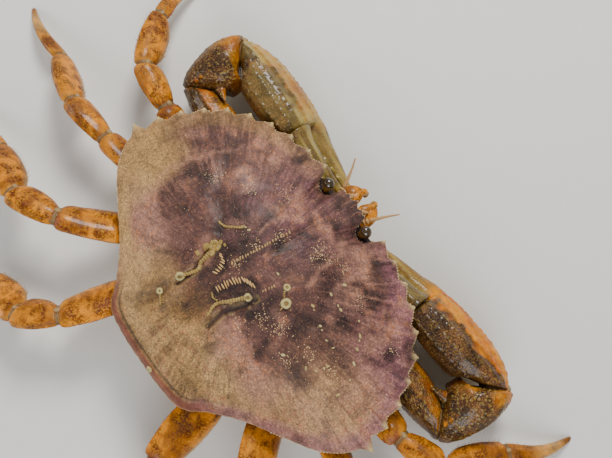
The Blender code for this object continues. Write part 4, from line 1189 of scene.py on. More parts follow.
def shell_finish():
    """The back shell: mauve-brown with tan, purple and rust zones, close-set grains and dark pits."""
    skin, chosen = Finish("back_shell"), colours()
    deep, middle, light = chosen.shell_dark, chosen.shell_mid, chosen.shell_light
    patches, specks = skin.mottle(5.0)
    clouds, flecks = skin.mottle(13.0)
    height, tips = skin.grain(1.0)
    large_height, large_tips = skin.grain(1.8)
    pale_mark, warm_mark, dark_mark = skin.marks()
    tan_zone, purple_zone, crowd = skin.marks("zones")
    light_tone, dark_tone, rosy_tone = skin.marks("tones")
    # The mauve ground, with the tan and purple zones over it.
    base = skin.stain(skin.mix(0.5, deep, middle), patches, 0.7, middle)
    base = skin.stain(base, tan_zone, 0.9, skin.mix(patches, chosen.shell_tan_dark, chosen.shell_tan))
    purple = skin.mix(patches, darker(chosen.shell_purple, 0.6), chosen.shell_purple)
    base = skin.stain(base, purple_zone, 0.8, purple)
    # Light, glowing, dark and rosy patches.
    paler = skin.mix(0.76, base, skin.mix(tan_zone, chosen.shell_rose, light))
    base = skin.stain(skin.mix(light_tone, base, paler), clouds, 0.18, paler)
    warmth, embers = skin.mottle(17.0)
    glow = skin.times(skin.times(warmth, embers), skin.plus(light_tone, 0.35))
    base = skin.stain(base, glow, 0.6, chosen.shell_glow)
    base = skin.stain(base, dark_tone, skin.plus(skin.times(patches, 0.42), 0.54), deep)
    base = skin.stain(base, rosy_tone, 0.45, chosen.shell_rose)
    base = skin.stain(base, specks, 0.06, light)
    # Streaks that run outwards, and a brighter left side.
    flow = skin.node("Attribute", {"attribute_name": "flow"}).outputs["Vector"]
    aside = skin.node("SeparateXYZ", Vector=flow).outputs
    outer = skin.ramp(aside["Z"], 0.25, 0.75)
    laid = skin.node("Mapping", Vector=flow, Scale=STREAK_SCALE).outputs["Vector"]
    noise = skin.node("TexNoise", Vector=laid, Scale=1.0, Detail=3.0, Roughness=0.6, Distortion=0.4)
    streaks = noise.outputs["Fac"]
    streaked = skin.times(skin.ramp(streaks, 0.52, 0.34), skin.plus(outer, 0.25))
    base = skin.stain(base, streaked, 0.30, deep)
    base = skin.stain(base, skin.times(skin.ramp(streaks, 0.52, 0.68), outer), 0.42, paler)
    leftmost = skin.times(tan_zone, skin.ramp(aside["Y"], 0.35, 0.9))
    base = skin.stain(base, leftmost, skin.plus(skin.times(light_tone, 0.5), 0.45), light)
    # Painted shade in the gaps between the grains, dark pepper between them, and pale dots on them.
    base = skin.stain(base, skin.ramp(height, 0.36, 0.06), 0.34, darker(deep, 0.8))
    coarse = skin.plus(skin.times(skin.mottle(3.2)["Patches"], 0.6), 0.4)
    pepper = skin.times(skin.ramp(skin.grain(1.15)["Height"], 0.30, 0.85), coarse)
    base = skin.stain(base, pepper, skin.plus(skin.times(tan_zone, 0.36), 0.42), deep)
    dots = skin.times(skin.times(tips, skin.times(crowd, 0.06)), skin.less(1.0, tan_zone))
    base = skin.mix(dots, base, light)
    base = skin.stain(base, large_tips, 0.05, light)
    base = skin.stain(base, flecks, 0.30, deep)
    # The marks painted on the mesh; the dark one is painted shade in the grooves and the eyes' notches.
    base = skin.stain(base, warm_mark, 0.9, skin.mix(patches, darker(chosen.rust, 0.6), chosen.rust))
    base = skin.mix(dark_mark, base, darker(deep, 0.4))
    base = skin.mix(pale_mark, base, skin.mix(specks, chosen.cream, darker(chosen.cream, 0.5)))
    rough = skin.less(skin.plus(skin.times(specks, 0.2), 0.46), skin.times(tips, 0.06))
    skin.shader(Base_Color=base, Roughness=rough, Specular_IOR_Level=0.26)
    skin.shader(Coat_Weight=0.05, Coat_Roughness=0.2)
    skin.lift([(height, 0.7), (large_height, 0.9), (specks, 0.3)], 0.25)
    return skin.material


def plain_finish(name, first, second, patch_size, roughness, coat=0.0, coat_rough=0.1, depth=0.05,
                 mixed=0.45):
    """Two mixed colours with fine relief; the pale mark chooses the second one too."""
    found = bpy.data.materials.get(name)
    if found:
        return found
    skin = Finish(name)
    patches, specks = skin.mottle(patch_size)
    pale_mark, _, dark_mark = skin.marks()
    share = skin.maths("MAXIMUM", skin.times(patches, mixed), pale_mark, clamp=True)
    base = skin.mix(dark_mark, skin.mix(share, first, second), darker(first, 0.25))
    skin.shader(Base_Color=base, Roughness=skin.plus(skin.times(specks, 0.12), roughness))
    skin.shader(Coat_Weight=coat, Coat_Roughness=coat_rough)
    skin.lift([(patches, 0.6), (specks, 0.6)], depth)
    return skin.material


def grain_finish():
    c = colours()
    return plain_finish("pearly_grains", c.shell_light, c.cream_light, 1.2, 0.25, coat=0.5)


def comb_finish():
    c = colours()
    return plain_finish("comb_bars", c.comb, c.cream, 1.2, 0.4, coat=0.2)


def crust_finish():
    c = colours()
    pair = (c.crust_yellow, c.crust_pale)
    return plain_finish("chalky_crust", *pair, 1.6, 0.5, coat=0.2, depth=0.1, mixed=0.25)


def limb_finish():
    c = colours()
    shades_of = (c.limb_dark, c.limb_orange, c.limb_light, c.cream, c.rust)
    return hard_finish("limb_skin", shades_of, 6.0, 1.15, 0.42, 0.22, blotch=0.55)


def claw_finish():
    c = colours()
    shades_of = (c.claw_dark, c.claw_brown, c.claw_gold, c.claw_pale, c.claw_orange)
    return hard_finish("claw_skin", shades_of, 5.0, 1.3, 0.36, 0.34, 0.18, blotch=0.6, speckle=0.3)


def belly_finish():
    c = colours()
    shades_of = (c.belly_dark, c.belly, c.cream_light, c.cream_light, c.limb_orange)
    return hard_finish("belly_plates", shades_of, 9.0, 1.4, 0.38, 0.2, grain_depth=0.07)


def joint_finish():
    c = colours()
    return plain_finish("joint_skin", c.joint_skin, c.cream, 3.0, 0.5, coat=0.1, depth=0.12, mixed=0.15)


def eye_finish():
    c = colours()
    pair = (c.eye, c.eye_rim)
    return plain_finish("eye_glaze", *pair, 0.7, 0.12, coat=0.6, coat_rough=0.03, depth=0.01, mixed=0.1)


def stalk_finish():
    c = colours()
    return plain_finish("eye_stalk", c.limb_dark, c.claw_gold, 1.6, 0.35, coat=0.3, depth=0.06)


def feeler_finish():
    c = colours()
    return plain_finish("feeler", c.limb_dark, c.limb_light, 2.0, 0.38, coat=0.3)


def bristle_finish():
    c = colours()
    return plain_finish("bristles", c.bristle, c.claw_gold, 4.0, 0.5, depth=0.02)


# Walking legs
def off_by(angles, centre):
    """Degrees between each angle and a direction round a limb."""
    return (np.degrees(angles) - centre + 180) % 360 - 180


def ridged(rows, fade=None):
    """A relief of ridges and hollows round a limb: (height in millimetres, degrees round it, width)."""
    def relief(share, angles):
        found = sum(height * bell(off_by(angles, centre), width) for height, centre, width in rows)
        return found * smooth(share / fade) if fade else found

    return relief


def dactyl_relief(share, angles):
    """Six shallow ridges that fade towards the tip."""
    return (0.16 * np.cos(6 * angles) - 0.05) * (1 - share) ** 0.4


LEG_RELIEFS = {
    "merus": ridged([(0.55, 90, 11), (0.5, 270, 11), (-0.3, 0, 24), (-0.3, 180, 24)], fade=0.25),
    "carpus": ridged([(0.45, 62, 10), (0.45, 118, 10), (-0.35, 90, 12)]),
    "propodus": ridged([(0.4, 70, 9), (0.4, 110, 9), (0.4, 270, 12), (-0.4, 0, 22), (-0.4, 180, 22)]),
    "dactyl": dactyl_relief,
}
LEG_PARTS = tuple(LEG_RELIEFS)
LEG_ROWS = {"merus": 66, "carpus": 34, "propodus": 48, "dactyl": 60}
LEG_ARCHES = {"merus": 0.03, "carpus": 0.0, "propodus": 0.0, "dactyl": 0.09}
LEG_ANGLES = full_turn(48)
built_limbs = {}


def outward_of(rings):
    """Directions away from the middle of each ring, and the distances from it."""
    outward = rings - rings.mean(1, keepdims=True)
    reach = np.linalg.norm(outward, axis=-1, keepdims=True)
    return outward / np.maximum(reach, 1e-6), reach[..., 0]


def roughen(rings, seed, fine, coarse):
    """Lifts rings outwards by grains and soft unevenness, less where a limb is thin."""
    outward, reach = outward_of(rings)
    raised = pebbles(rings, 1.7, seed) * fine + cloud(rings, 5.0, seed + 1) * coarse
    return rings + outward * (raised * np.minimum(reach / 2.5, 1))[..., None]


def leg_paint(part, shares, rings, seed):
    """Cream beneath, rust at the joints and dusky along the upper crest."""
    upward = outward_of(rings)[0][..., 2]
    share = shares[:, None] * np.ones(rings.shape[:2])
    under = smooth((-upward - 0.05) / 0.75)
    pale = 0.8 * under * (0.75 + 0.25 * cloud(rings, 6, seed))
    ends = np.maximum(smooth((0.14 - share) / 0.14), smooth((share - 0.88) / 0.12))
    warm = 0.75 * ends * (1 - 0.6 * under) + 0.3 * smooth(cloud(rings, 8, seed + 2))
    dark = 0.35 * smooth((upward - 0.55) / 0.4) * smooth(0.4 + cloud(rings, 7, seed + 3))
    if part == "dactyl":
        tip = smooth((share - 0.72) / 0.25)
        pale = np.maximum(pale * (1 - tip), 0.35 * smooth((share - 0.2) / 0.5) * (1 - tip))
        dark = np.maximum(dark, 0.55 * tip)
    return np.stack([pale, warm, dark], -1)


def add_leg(side, number):
    leg, sign = leg_of(side, number), SIDES[side]
    points = leg_joints(leg)
    faces = joint_faces(points, leg["root"])
    upright = leg_frame(leg)[1]
    wide, thick = leg["half_width"], leg["half_thick"]
    for k, part in enumerate(LEG_PARTS):
        pointed = part == "dactyl"
        profile = [(share, up * wide, across * thick) for share, up, across in LEG_PROFILES[part]]
        shares, rings = segment(
            points[k : k + 2], faces[k : k + 2], upright, profile, LEG_ANGLES, LEG_ROWS[part], 1.8,
            LEG_RELIEFS[part], LEG_ARCHES[part], round_end=not pointed)
        seed = 100 * number + 10 * k + (sign + 1)
        rings = roughen(rings, seed, *((0.04, 0.05) if pointed else (0.10, 0.14)))
        rings[..., 2] = np.maximum(rings[..., 2], -FLOOR_DEPTH)
        clay = Clay(side)
        clay.add_tube(rings, leg_paint(part, shares, rings, seed))
        piece = clay.build(f"{part}_{side}_{number}", limb_finish())
        finish_piece(piece, "limb", f"leg_{side}_{number}_{part}")
        built_limbs[side, number, part] = (shares, rings)
    for k in (1, 2, 3, 0):
        _, up, across = LEG_PROFILES[LEG_PARTS[k - 1]][-1] if k else LEG_PROFILES["merus"][0]
        joint_at(side, points[k], faces[k], upright, up * wide, across * thick)


# Joints

joint_clays = {}


def joint_at(side, place, face, upright, half_up, half_across):
    """A pleated band of soft skin inside a joint, with the two small knobs that it turns on."""
    clay = joint_clays.setdefault(side, Clay(side))
    angles = full_turn(32)
    rings = []
    for share in np.linspace(-1, 1, 17):
        inset = 0.84 * (1 + 0.035 * math.cos(share * math.pi * 5) - 0.10 * share**2)
        centre = place + face * share * size("joint_skins") / 2
        rings.append(ring(centre, face, upright, half_up * inset, half_across * inset, angles))
    clay.add_tube(rings, (0.05, 0, 0.15))
    across = np.cross(unit(upright - np.dot(upright, face) * face), face)
    knobs = Sprinkle("uv_sphere", segments=14, ring_count=9, radius=1.0)
    radius = 0.20 * min(half_up, half_across) + 0.35
    for way in (-1, 1):
        spot = place + across * way * half_across * 0.86
        knobs.add(spot, basis(face), (radius, radius, radius * 1.5), (0.3, 0, 0))
    knobs.into(clay)


def add_joint_skins():
    if not joint_clays:
        raise RuntimeError("the legs and claws have to be built before their joint skins")
    for side, clay in joint_clays.items():
        finish_piece(clay.build(f"joint_skins_{side}", joint_finish()), "limb")


# Claws

CLAW_ANGLES = full_turn(96)
CLAW_LOOKS = {"left": dict(draws=31, seed=700, pallor=0.72), "right": dict(draws=32, seed=760, pallor=0.0)}
# Cell widths of the grids that join the bodies of each piece into one skin.
ELBOW_VOXEL, PALM_VOXEL, FINGER_VOXEL = 0.42, 0.45, 0.34
SPINE_SHAPE = [(-0.35, 1.05), (0.0, 1.0), (0.2, 0.9), (0.45, 0.66), (0.7, 0.40), (0.88, 0.22), (0.97, 0.10)]
PALM_KEELS = (90, 118, 142, 164, 186, 210, 238)
ARM_RELIEF = ridged([(0.6, 90, 10), (0.4, 180, 14), (-0.3, 135, 18)])
ELBOW_RELIEF = ridged([(0.5, 90, 9), (0.4, 150, 9), (0.3, 30, 9)])
FINGER_GROOVES = ridged([(-0.32, groove, 9) for groove in (35, 70, 110, 145, 215, 325)])
# Share of the finger and width of each tooth along its biting edge.
FINGER_TEETH = ((0.14, 1.7), (0.26, 2.5), (0.38, 2.2), (0.49, 2.6), (0.61, 2.0), (0.72, 1.6), (0.82, 1.1))


def palm_relief(share, angles):
    """Keels along the palm, with beads that stand out of step from keel to keel."""
    heights = [size("palm_keels") * (0.72 + 0.28 * math.cos(share * 95 + k)) for k in range(len(PALM_KEELS))]
    keels = ridged([(height, keel, 4.5) for height, keel in zip(heights, PALM_KEELS)])
    return keels(share, angles) * smooth(share / 0.15) * smooth((1.0 - share) / 0.05)


def palm_crest(share):
    """Half the palm's height at a share of its length."""
    return np.interp(share, *np.array(PALM_PROFILE).T[:2])


def hand_frame(claw):
    """Upright, forward and crestward directions of a hand, and the place of its knuckle."""
    wrist, tip = claw["wrist"], claw["tip"]
    lean = math.radians(CLAW_LEAN)
    upright = np.array([0, -math.sin(lean), math.cos(lean)])
    forward = unit(tip - wrist)
    up = unit(upright - np.dot(upright, forward) * forward)
    return upright, forward, up, wrist + (tip - wrist) * PALM_SHARE


def finger_middle(finger, share):
    hump = finger["hump"] * np.sin(np.pi * share * 0.9)
    return finger["above"] * (finger["base"] + hump - finger["fall"] * share**2.1)


def finger_half(finger, share):
    return finger["half"] * (1 - 0.85 * share**1.2)


def add_spine(clay, root, direction, length, radius, bend):
    """A pointed spine that bends a little towards its end."""
    direction = unit(direction)
    rings = []
    for share, width in SPINE_SHAPE:
        centre = root + direction * length * share + bend * length * max(share, 0) ** 2
        rings.append(ring(centre, direction, (0.3, 0.1, 1), radius * width, radius * width, full_turn(12)))
    clay.add_tube(rings)


def finger_into(clay, finger, start, tip, up, chance, flare=0.0):
    """A tapering, inward-curving finger with rounded teeth along its biting edge."""
    forward = unit(tip - start)
    length = np.linalg.norm(tip - start)
    rings = []
    near_tip = 0.9 + 0.1 * np.sin(np.linspace(0.12, 1, 9) * math.pi / 2)
    for share in np.concatenate([np.linspace(0, 0.9, 46), near_tip]):
        centre = start + (tip - start) * share + up * finger_middle(finger, share)
        half = finger_half(finger, share) + flare * math.exp(-(share / 0.09) ** 2)
        if share > 0.9:
            half *= math.sqrt(max(1 - ((share - 0.9) / 0.1) ** 2, 0.01)) ** 0.8
        section = ring(centre, forward, up, half, half * 0.94, CLAW_ANGLES, 2.1)
        outward = (section - centre) / np.linalg.norm(section - centre, axis=1, keepdims=True)
        rings.append(section + outward * (FINGER_GROOVES(share, CLAW_ANGLES) * (1 - share) ** 0.6)[:, None])
    clay.add_tube(rings)
    inward = -finger["above"] * up
    axes = np.stack([forward, np.cross(inward, forward), inward])
    teeth = Sprinkle("ico_sphere", subdivisions=2, radius=1.0)
    for share, wide in FINGER_TEETH:
        wide *= 1 + chance.uniform(-0.12, 0.12)
        spot = start + (tip - start) * share + up * finger_middle(finger, share)
        spot = spot + inward * finger_half(finger, share) * 0.86
        teeth.add(spot, axes, (length * 0.018 * wide, wide * 0.52, wide * 0.62))
    teeth.into(clay)


def select_only(obj):
    bpy.ops.object.select_all(action="DESELECT")
    obj.select_set(True)
    bpy.context.view_layer.objects.active = obj


def one_skin(obj, voxel, smoothing):
    """Joins an object's bodies into one skin by remeshing, and smooths it."""
    select_only(obj)
    remesh = obj.modifiers.new("one_skin", "REMESH")
    remesh.mode = "VOXEL"
    remesh.voxel_size = voxel * MM
    remesh.use_smooth_shade = True
    bpy.ops.object.modifier_apply(modifier=remesh.name)
    soft = obj.modifiers.new("soft", "SMOOTH")
    soft.factor, soft.iterations = 0.5, smoothing
    bpy.ops.object.modifier_apply(modifier=soft.name)


def paint_by_place(obj, paint, sign=LEFT):
    """Sets the marks by a function of crab places and directions, and lifts the skin by its fourth value."""
    points = mesh_points(obj.data)
    normals = mesh_normals(obj.data)
    places = to_crab(points) * (sign, 1, 1)
    pale, warm, dark, raised = paint(places, normals * (sign, -1, 1))
    set_marks(obj.data, np.stack(np.broadcast_arrays(pale, warm, dark), -1))
    raise_skin(obj, points, normals, raised)


def raise_skin(obj, points, normals, millimetres):
    """Moves a mesh's points along their normals."""
    obj.data.vertices.foreach_set("co", (points + normals * (millimetres * MM)[:, None]).ravel())
    obj.data.update()


def claw_piece(clay, name, node, paint, voxel=None):
    """Makes one piece of the clay's bodies, as one skin where a voxel is given, and paints it."""
    piece = clay.build(name, claw_finish())
    if voxel:
        one_skin(piece, voxel, 2)
    paint_by_place(piece, paint, clay.sign)
    finish_piece(piece, "claw", node)


def claw_skin(claw, pallor, seed):
    """Paint for a claw's pieces: orange outer face, dusky top, cream beneath and pale, toothed fingers."""
    _, forward, up, _ = hand_frame(claw)
    outer = -np.cross(up, forward)
    reach = np.linalg.norm(claw["tip"] - claw["wrist"])

    def paint(places, outward):
        along = (places - claw["wrist"]) @ forward / reach
        above = (places - claw["wrist"]) @ up
        facing, top = outward @ outer, outward @ up
        palm_middle = claw["wrist"] + np.outer(along * reach, forward)
        turned = np.degrees(np.arctan2(above / 1.7, -((places - palm_middle) @ outer)))
        keels = sum(bell((turned - keel + 180) % 360 - 180, 3.5) for keel in PALM_KEELS)
        beads = keels * pebbles(places, 2.2, seed + 8) * smooth((PALM_SHARE - along) / 0.06)
        patch, fine = cloud(places, 9, seed), cloud(places, 2.8, seed + 3)
        under = smooth((-outward[:, 2] - 0.25) / 0.55)
        border = 0.48 + 0.30 * patch + 0.16 * cloud(places, 3.0, seed + 2)
        height = above / palm_crest(along / PALM_SHARE)
        orange = smooth((facing + 0.25) / 0.5) * smooth((border - height) / 0.20)
        finger = smooth((along - 0.52 + 0.05 * patch) / 0.16)
        flow = np.column_stack([along * 6, above * 0.55, facing * 2])
        streak = smooth(0.35 + 1.3 * cloud(flow, 1.0, seed + 9))
        bite = bell(above, 2.6) * smooth((along - 0.56) / 0.04)
        tip = smooth((along - 0.86) / 0.1)
        faded = pallor * smooth(0.5 + 0.55 * patch + 0.3 * fine) * (1 - 0.7 * smooth((top - 0.1) / 0.6))
        beaded = 0.5 * np.clip(beads, 0, 1) * (1 - 0.5 * smooth(top))
        pale = np.maximum.reduce([0.75 * under, (0.25 + 0.5 * streak) * finger, bite, tip, faded, beaded])
        warm = orange * (1 - 0.72 * finger) * (1 - 0.6 * pallor)
        dark = 0.4 * smooth((top - 0.2) / 0.5) * smooth(0.3 + patch) * (1 - finger) * (1 - 0.4 * pallor)
        dark = dark + 0.28 * finger * (1 - streak) * (1 - tip)
        grains = pebbles(places, 1.5, seed + 5) * 0.13 * (1 - 0.75 * finger)
        pits = -0.10 * pebbles(places, 1.3, seed + 6, width=0.28) * finger
        return pale, warm, dark, grains + pits + 0.3 * beads + 0.08 * cloud(places, 4, seed + 7)

    return paint


def arm_skin(seed):
    """Paint for the arm and the elbow: cream beneath, rust in front and pale grains."""
    def paint(places, outward):
        patch, grains = cloud(places, 6, seed), pebbles(places, 1.7, seed + 5)
        pale = np.maximum(0.7 * smooth((-outward[:, 2] - 0.2) / 0.6), 0.5 * smooth((grains - 0.45) / 0.3))
        warm = 0.8 * smooth((outward[:, 1] + 0.2) / 0.5) * smooth(0.6 + patch)
        dark = 0.35 * smooth((outward[:, 2] - 0.3) / 0.5) * smooth(0.2 + patch)
        return pale, warm, dark, 0.26 * grains + 0.1 * cloud(places, 4, seed + 7)

    return paint


def add_claw(side):
    claw = {key: np.array(value, float) for key, value in CLAWS[side].items()}
    points = [claw[key] for key in ("coxa", "elbow", "wrist", "tip")]
    faces = joint_faces(points, CLAW_ROOT)
    upright, forward, up, knuckle = hand_frame(claw)
    looks = CLAW_LOOKS[side]
    chance, seed, pallor = random.Random(looks["draws"]), looks["seed"], looks["pallor"]
    _, rings = segment(points[:2], faces[:2], ARM_UP, ARM_PROFILE, CLAW_ANGLES, 70, 2.3, ARM_RELIEF)
    clay = Clay(side)
    clay.add_tube(roughen(rings, seed, fine=0.16, coarse=0.15))
    claw_piece(clay, f"claw_arm_{side}", f"claw_{side}_merus", arm_skin(seed + 20))
    make_elbow(side, points, faces, upright, chance, seed)
    make_palm(side, claw, faces[2], chance, claw_skin(claw, pallor, seed))
    make_upper_finger(side, claw, chance, claw_skin(claw, pallor, seed + 30))
    for place, face, above, half_up, half_across in (
        (points[0], faces[0], np.array(ARM_UP), 7.2, 7.0),
        (points[1], faces[1], upright, 8.6, 8.2),
        (points[2], faces[2], upright, 8.2, 6.2),
        (knuckle + up * 8.0, forward, up, 6.0, 5.6),
    ):
        joint_at(side, place, face, above, half_up, half_across)


def make_elbow(side, points, faces, upright, chance, seed):
    elbow, wrist = points[1], points[2]
    _, rings = segment(points[1:3], faces[1:3], upright, ELBOW_PROFILE, CLAW_ANGLES, 60, 2.3, ELBOW_RELIEF)
    clay = Clay(side)
    clay.add_tube(rings)
    inward = unit(points[3] - wrist)
    root = elbow + (wrist - elbow) * 0.42 + inward * 8 + upright * 7
    add_spine(clay, root, inward * 0.8 + upright * 0.5, 8.5, 2.4, inward * 0.12)
    for k in range(5):
        root = elbow + (wrist - elbow) * (0.22 + 0.13 * k) + upright * 11.4 + inward * chance.uniform(-1, 1)
        add_spine(clay, root, upright, 3.6 * (1 + chance.uniform(-0.2, 0.2)), 1.3, 0 * inward)
    claw_piece(clay, f"claw_elbow_{side}", f"claw_{side}_carpus", arm_skin(seed + 10), ELBOW_VOXEL)


FIXED_ROOT = 6.0
PALM_END_LENGTH = 15.0
# The lower half of the palm's end: how far it lies below the middle, and its half height and half width.
PALM_END = (-8.3, 7.7, 7.6)


def palm_end(start, tip, forward, up):
    """Rings that lead the lower half of the palm over into its fixed finger."""
    rings = []
    for step in np.linspace(0, 1, 18):
        share = (FIXED_ROOT - 3 + PALM_END_LENGTH * step) / np.linalg.norm(tip - start)
        half, ease = finger_half(FIXED_FINGER, share), float(smooth(step))
        finger = (finger_middle(FIXED_FINGER, share), half, half * 0.9)
        above, half_up, half_across = (a + (b - a) * ease for a, b in zip(PALM_END, finger))
        centre = start + (tip - start) * share + up * above
        rings.append(ring(centre, forward, up, half_up, half_across, CLAW_ANGLES, 2.2))
    return rings


def make_palm(side, claw, wrist_face, chance, paint):
    wrist, tip = claw["wrist"], claw["tip"]
    upright, forward, up, knuckle = hand_frame(claw)
    _, rings = segment((wrist, knuckle), (wrist_face, forward), upright, PALM_PROFILE, CLAW_ANGLES, 110, 2.3,
                       palm_relief)
    clay = Clay(side)
    clay.add_tube(rings)
    start = knuckle - forward * FIXED_ROOT
    finger_into(clay, FIXED_FINGER, start, tip, up, chance)
    clay.add_tube(palm_end(start, tip, forward, up))
    for share in 0.25 + 0.12 * np.arange(6):
        root = wrist + (knuckle - wrist) * share + up * (palm_crest(share) - 0.8)
        length = size("palm_spines") * (1 + chance.uniform(-0.2, 0.2))
        add_spine(clay, root, up + forward * 0.25, length, 1.15, forward * 0.3)
    claw_piece(clay, f"claw_palm_{side}", f"claw_{side}_palm", paint, PALM_VOXEL)


def make_upper_finger(side, claw, chance, paint):
    _, forward, up, knuckle = hand_frame(claw)
    start, tip = knuckle + forward * 0.15, claw["tip"]
    clay = Clay(side)
    finger_into(clay, UPPER_FINGER, start, tip, up, chance, flare=1.5)
    for k in range(6):
        share = 0.08 + 0.11 * k
        back = finger_middle(UPPER_FINGER, share) + finger_half(UPPER_FINGER, share) * 0.86
        root = start + (tip - start) * share + up * back
        add_spine(clay, root, up - forward * 0.2, 2.4 * (1 - 0.08 * k), 1.0, forward * 0.25)
    claw_piece(clay, f"claw_finger_{side}", f"claw_{side}_finger", paint, FINGER_VOXEL)


# Underside

SEAM_FORES = (18, 4.5, -6.5, -18, -31)


def breast_rise(fore):
    stations = sorted(BREAST)
    return -np.interp(fore, [s[0] for s in stations], [s[2] for s in stations])


def belly_skin(places, outward):
    """Seams between the breast's plates, cream beneath, rust along the flanks and painted shade just under
    the shell.
    """
    side, fore, rise = np.abs(places[:, 0]), places[:, 1], places[:, 2]
    under = smooth((-outward[:, 2] - 0.1) / 0.5)
    cut = bell(side, 0.8) * smooth((fore - 11) / 3) * smooth((34 - fore) / 4)
    for line in SEAM_FORES:
        slant = line + 0.22 * (side - 14) * (1 if line > 0 else -1)
        cut = np.maximum(cut, bell(fore - slant, 0.7) * smooth((side - 10) / 3) * smooth((36 - side) / 4))
    cut = cut * smooth((-rise - 15) / 4) * under
    flank = smooth((-rise - 8.5) / 2) * (1 - under)
    warm = 0.35 * flank * smooth(0.3 + cloud(places, 9, 61)) + 0.5 * cut
    pale = 0.55 * under + 0.25 * cloud(places, 12, 62)
    # Darker seams, and painted shade on the upper sides just under the shell's margin.
    dark = 0.30 * cut + 0.4 * smooth((-outward[:, 2] - 0.5) * -4) * smooth((rise + 11) / 2)
    raised = 0.10 * pebbles(places, 1.9, 63) + 0.12 * cloud(places, 6, 64) - 0.75 * cut
    return pale, warm, dark, np.where(rise > -9.6, -0.05, raised)


def add_belly():
    """The breast with its seams, the stubs that the limbs grow from and the floor under the shell."""
    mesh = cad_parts["thorax"].data.copy()
    mesh.name = "belly"
    mesh.materials.clear()
    mesh.materials.append(belly_finish())
    obj = bpy.data.objects.new("belly", mesh)
    bpy.context.scene.collection.objects.link(obj)
    select_only(obj)
    bpy.ops.object.mode_set(mode="EDIT")
    bpy.ops.mesh.select_all(action="SELECT")
    bpy.ops.mesh.remove_doubles(threshold=1e-5)
    bpy.ops.object.mode_set(mode="OBJECT")
    one_skin(obj, 0.75, 5)
    paint_by_place(obj, belly_skin)
    finish_piece(obj, "belly", "thorax")


PLATE_POWER = 2.6


def plate_rings(stations):
    """Rings of a plate that follows the breast's lowest line: (fore, middle, half width, thickness)."""
    turn = np.linspace(0, math.pi, 44)
    x = np.sign(np.cos(turn)) * np.abs(np.cos(turn)) ** (2 / PLATE_POWER)
    y = np.abs(np.sin(turn)) ** (2 / PLATE_POWER)
    rings = []
    for fore, middle, half, thickness in stations:
        slope = breast_rise(fore + 0.5) - breast_rise(fore - 0.5)
        out = unit([0, slope, -1.0])
        base = np.array([middle, fore, breast_rise(fore)]) + out * PLATE_GAP
        ridge = 1 + 0.05 * bell(x, 0.25)
        rings.append(base + np.outer(x * half, (1, 0, 0)) + np.outer(y * thickness * ridge, out))
    return np.array(rings)


TAIL_SHARES = np.concatenate([[0.0, 0.02, 0.06, 0.12], np.linspace(0.2, 0.9, 12), [0.95, 0.98, 1.0]])


def add_tail():
    """The narrow tail folded under the breast, in seven overlapping plates."""
    clay = Clay()
    for k in range(len(TAIL_BOUNDS) - 1):
        low, high = TAIL_BOUNDS[k : k + 2]
        half_low, half_high = TAIL_HALVES[k : k + 2]
        stations = []
        for share in TAIL_SHARES:
            front_edge = math.sqrt(max(1 - (1 - min(share / 0.12, 1)) ** 2, 0.02))
            edge = front_edge * math.sqrt(min((1 - share) / 0.05 + 0.3, 1))
            half = (half_low + (half_high - half_low) * share) * (0.965 + 0.035 * edge)
            thickness = (3.1 - 0.75 * share) * (0.62 + 0.38 * edge)
            stations.append((low + 0.12 + (high - low - 0.24) * share, 0, half, thickness))
        rings = plate_rings(stations)
        rings = rings + 0.07 * cloud(rings, 2.6, 70 + k)[..., None] * (0, 0, 1)
        pale = 0.5 + 0.3 * cloud(rings, 5, 80 + k)
        warm = 0.45 * smooth((np.abs(rings[..., 0]) / half_low - 0.75) / 0.25)
        clay.add_tube(rings, np.stack([pale, warm, 0 * pale], -1))
    finish_piece(clay.build("folded_tail", belly_finish()), "belly", "abdomen")


# Mouthparts, eyes and feelers

# Stations of the mouth's plates: fore, middle, half width and thickness.
MOUTH_PLATES = [
    (30.6, 5.6, 3.6, 1.2), (31, 5.6, 4.4, 2.2), (33, 5.7, 5.2, 2.9), (38, 5.7, 5.4, 3.1),
    (41.0, 5.7, 5.2, 3.1), (41.7, 5.7, 4.9, 2.6), (42.0, 5.7, 4.6, 1.9), (42.3, 5.7, 4.8, 2.6),
    (43.0, 5.7, 5.0, 3.0), (45.4, 5.6, 4.6, 2.8), (47.2, 5.4, 3.6, 2.2), (47.7, 5.4, 2.6, 1.2),
]
MOUTH_FORES = np.concatenate([
    np.linspace(30.6, 41.2, 26), np.linspace(41.4, 42.6, 8), np.linspace(42.8, 47.7, 14),
])
# Joints of the folded palp, whose rise counts from the breast under it.
PALP_JOINTS = [
    [(7.6, 47.4, -1.6), (7.9, 49.6, 0.6), (7.0, 51.0, 1.6)],
    [(7.0, 51.2, 1.4), (5.4, 51.6, -0.6), (4.6, 50.8, -2.6)],
    [(4.5, 50.6, -2.9), (3.9, 49.8, -4.8), (3.7, 48.8, -6.2)],
]
MOUTH_PALP = [(5.4, 47.6, -14.6), (5.9, 53.0, -12.9), (5.4, 58.6, -12.3), (4.4, 63.4, -13.2)]
PALP_TIP = [(4.6, 60.6, -12.9), (3.8, 63.4, -13.8), (2.9, 63.8, -15.6), (2.4, 62.4, -17.4)]


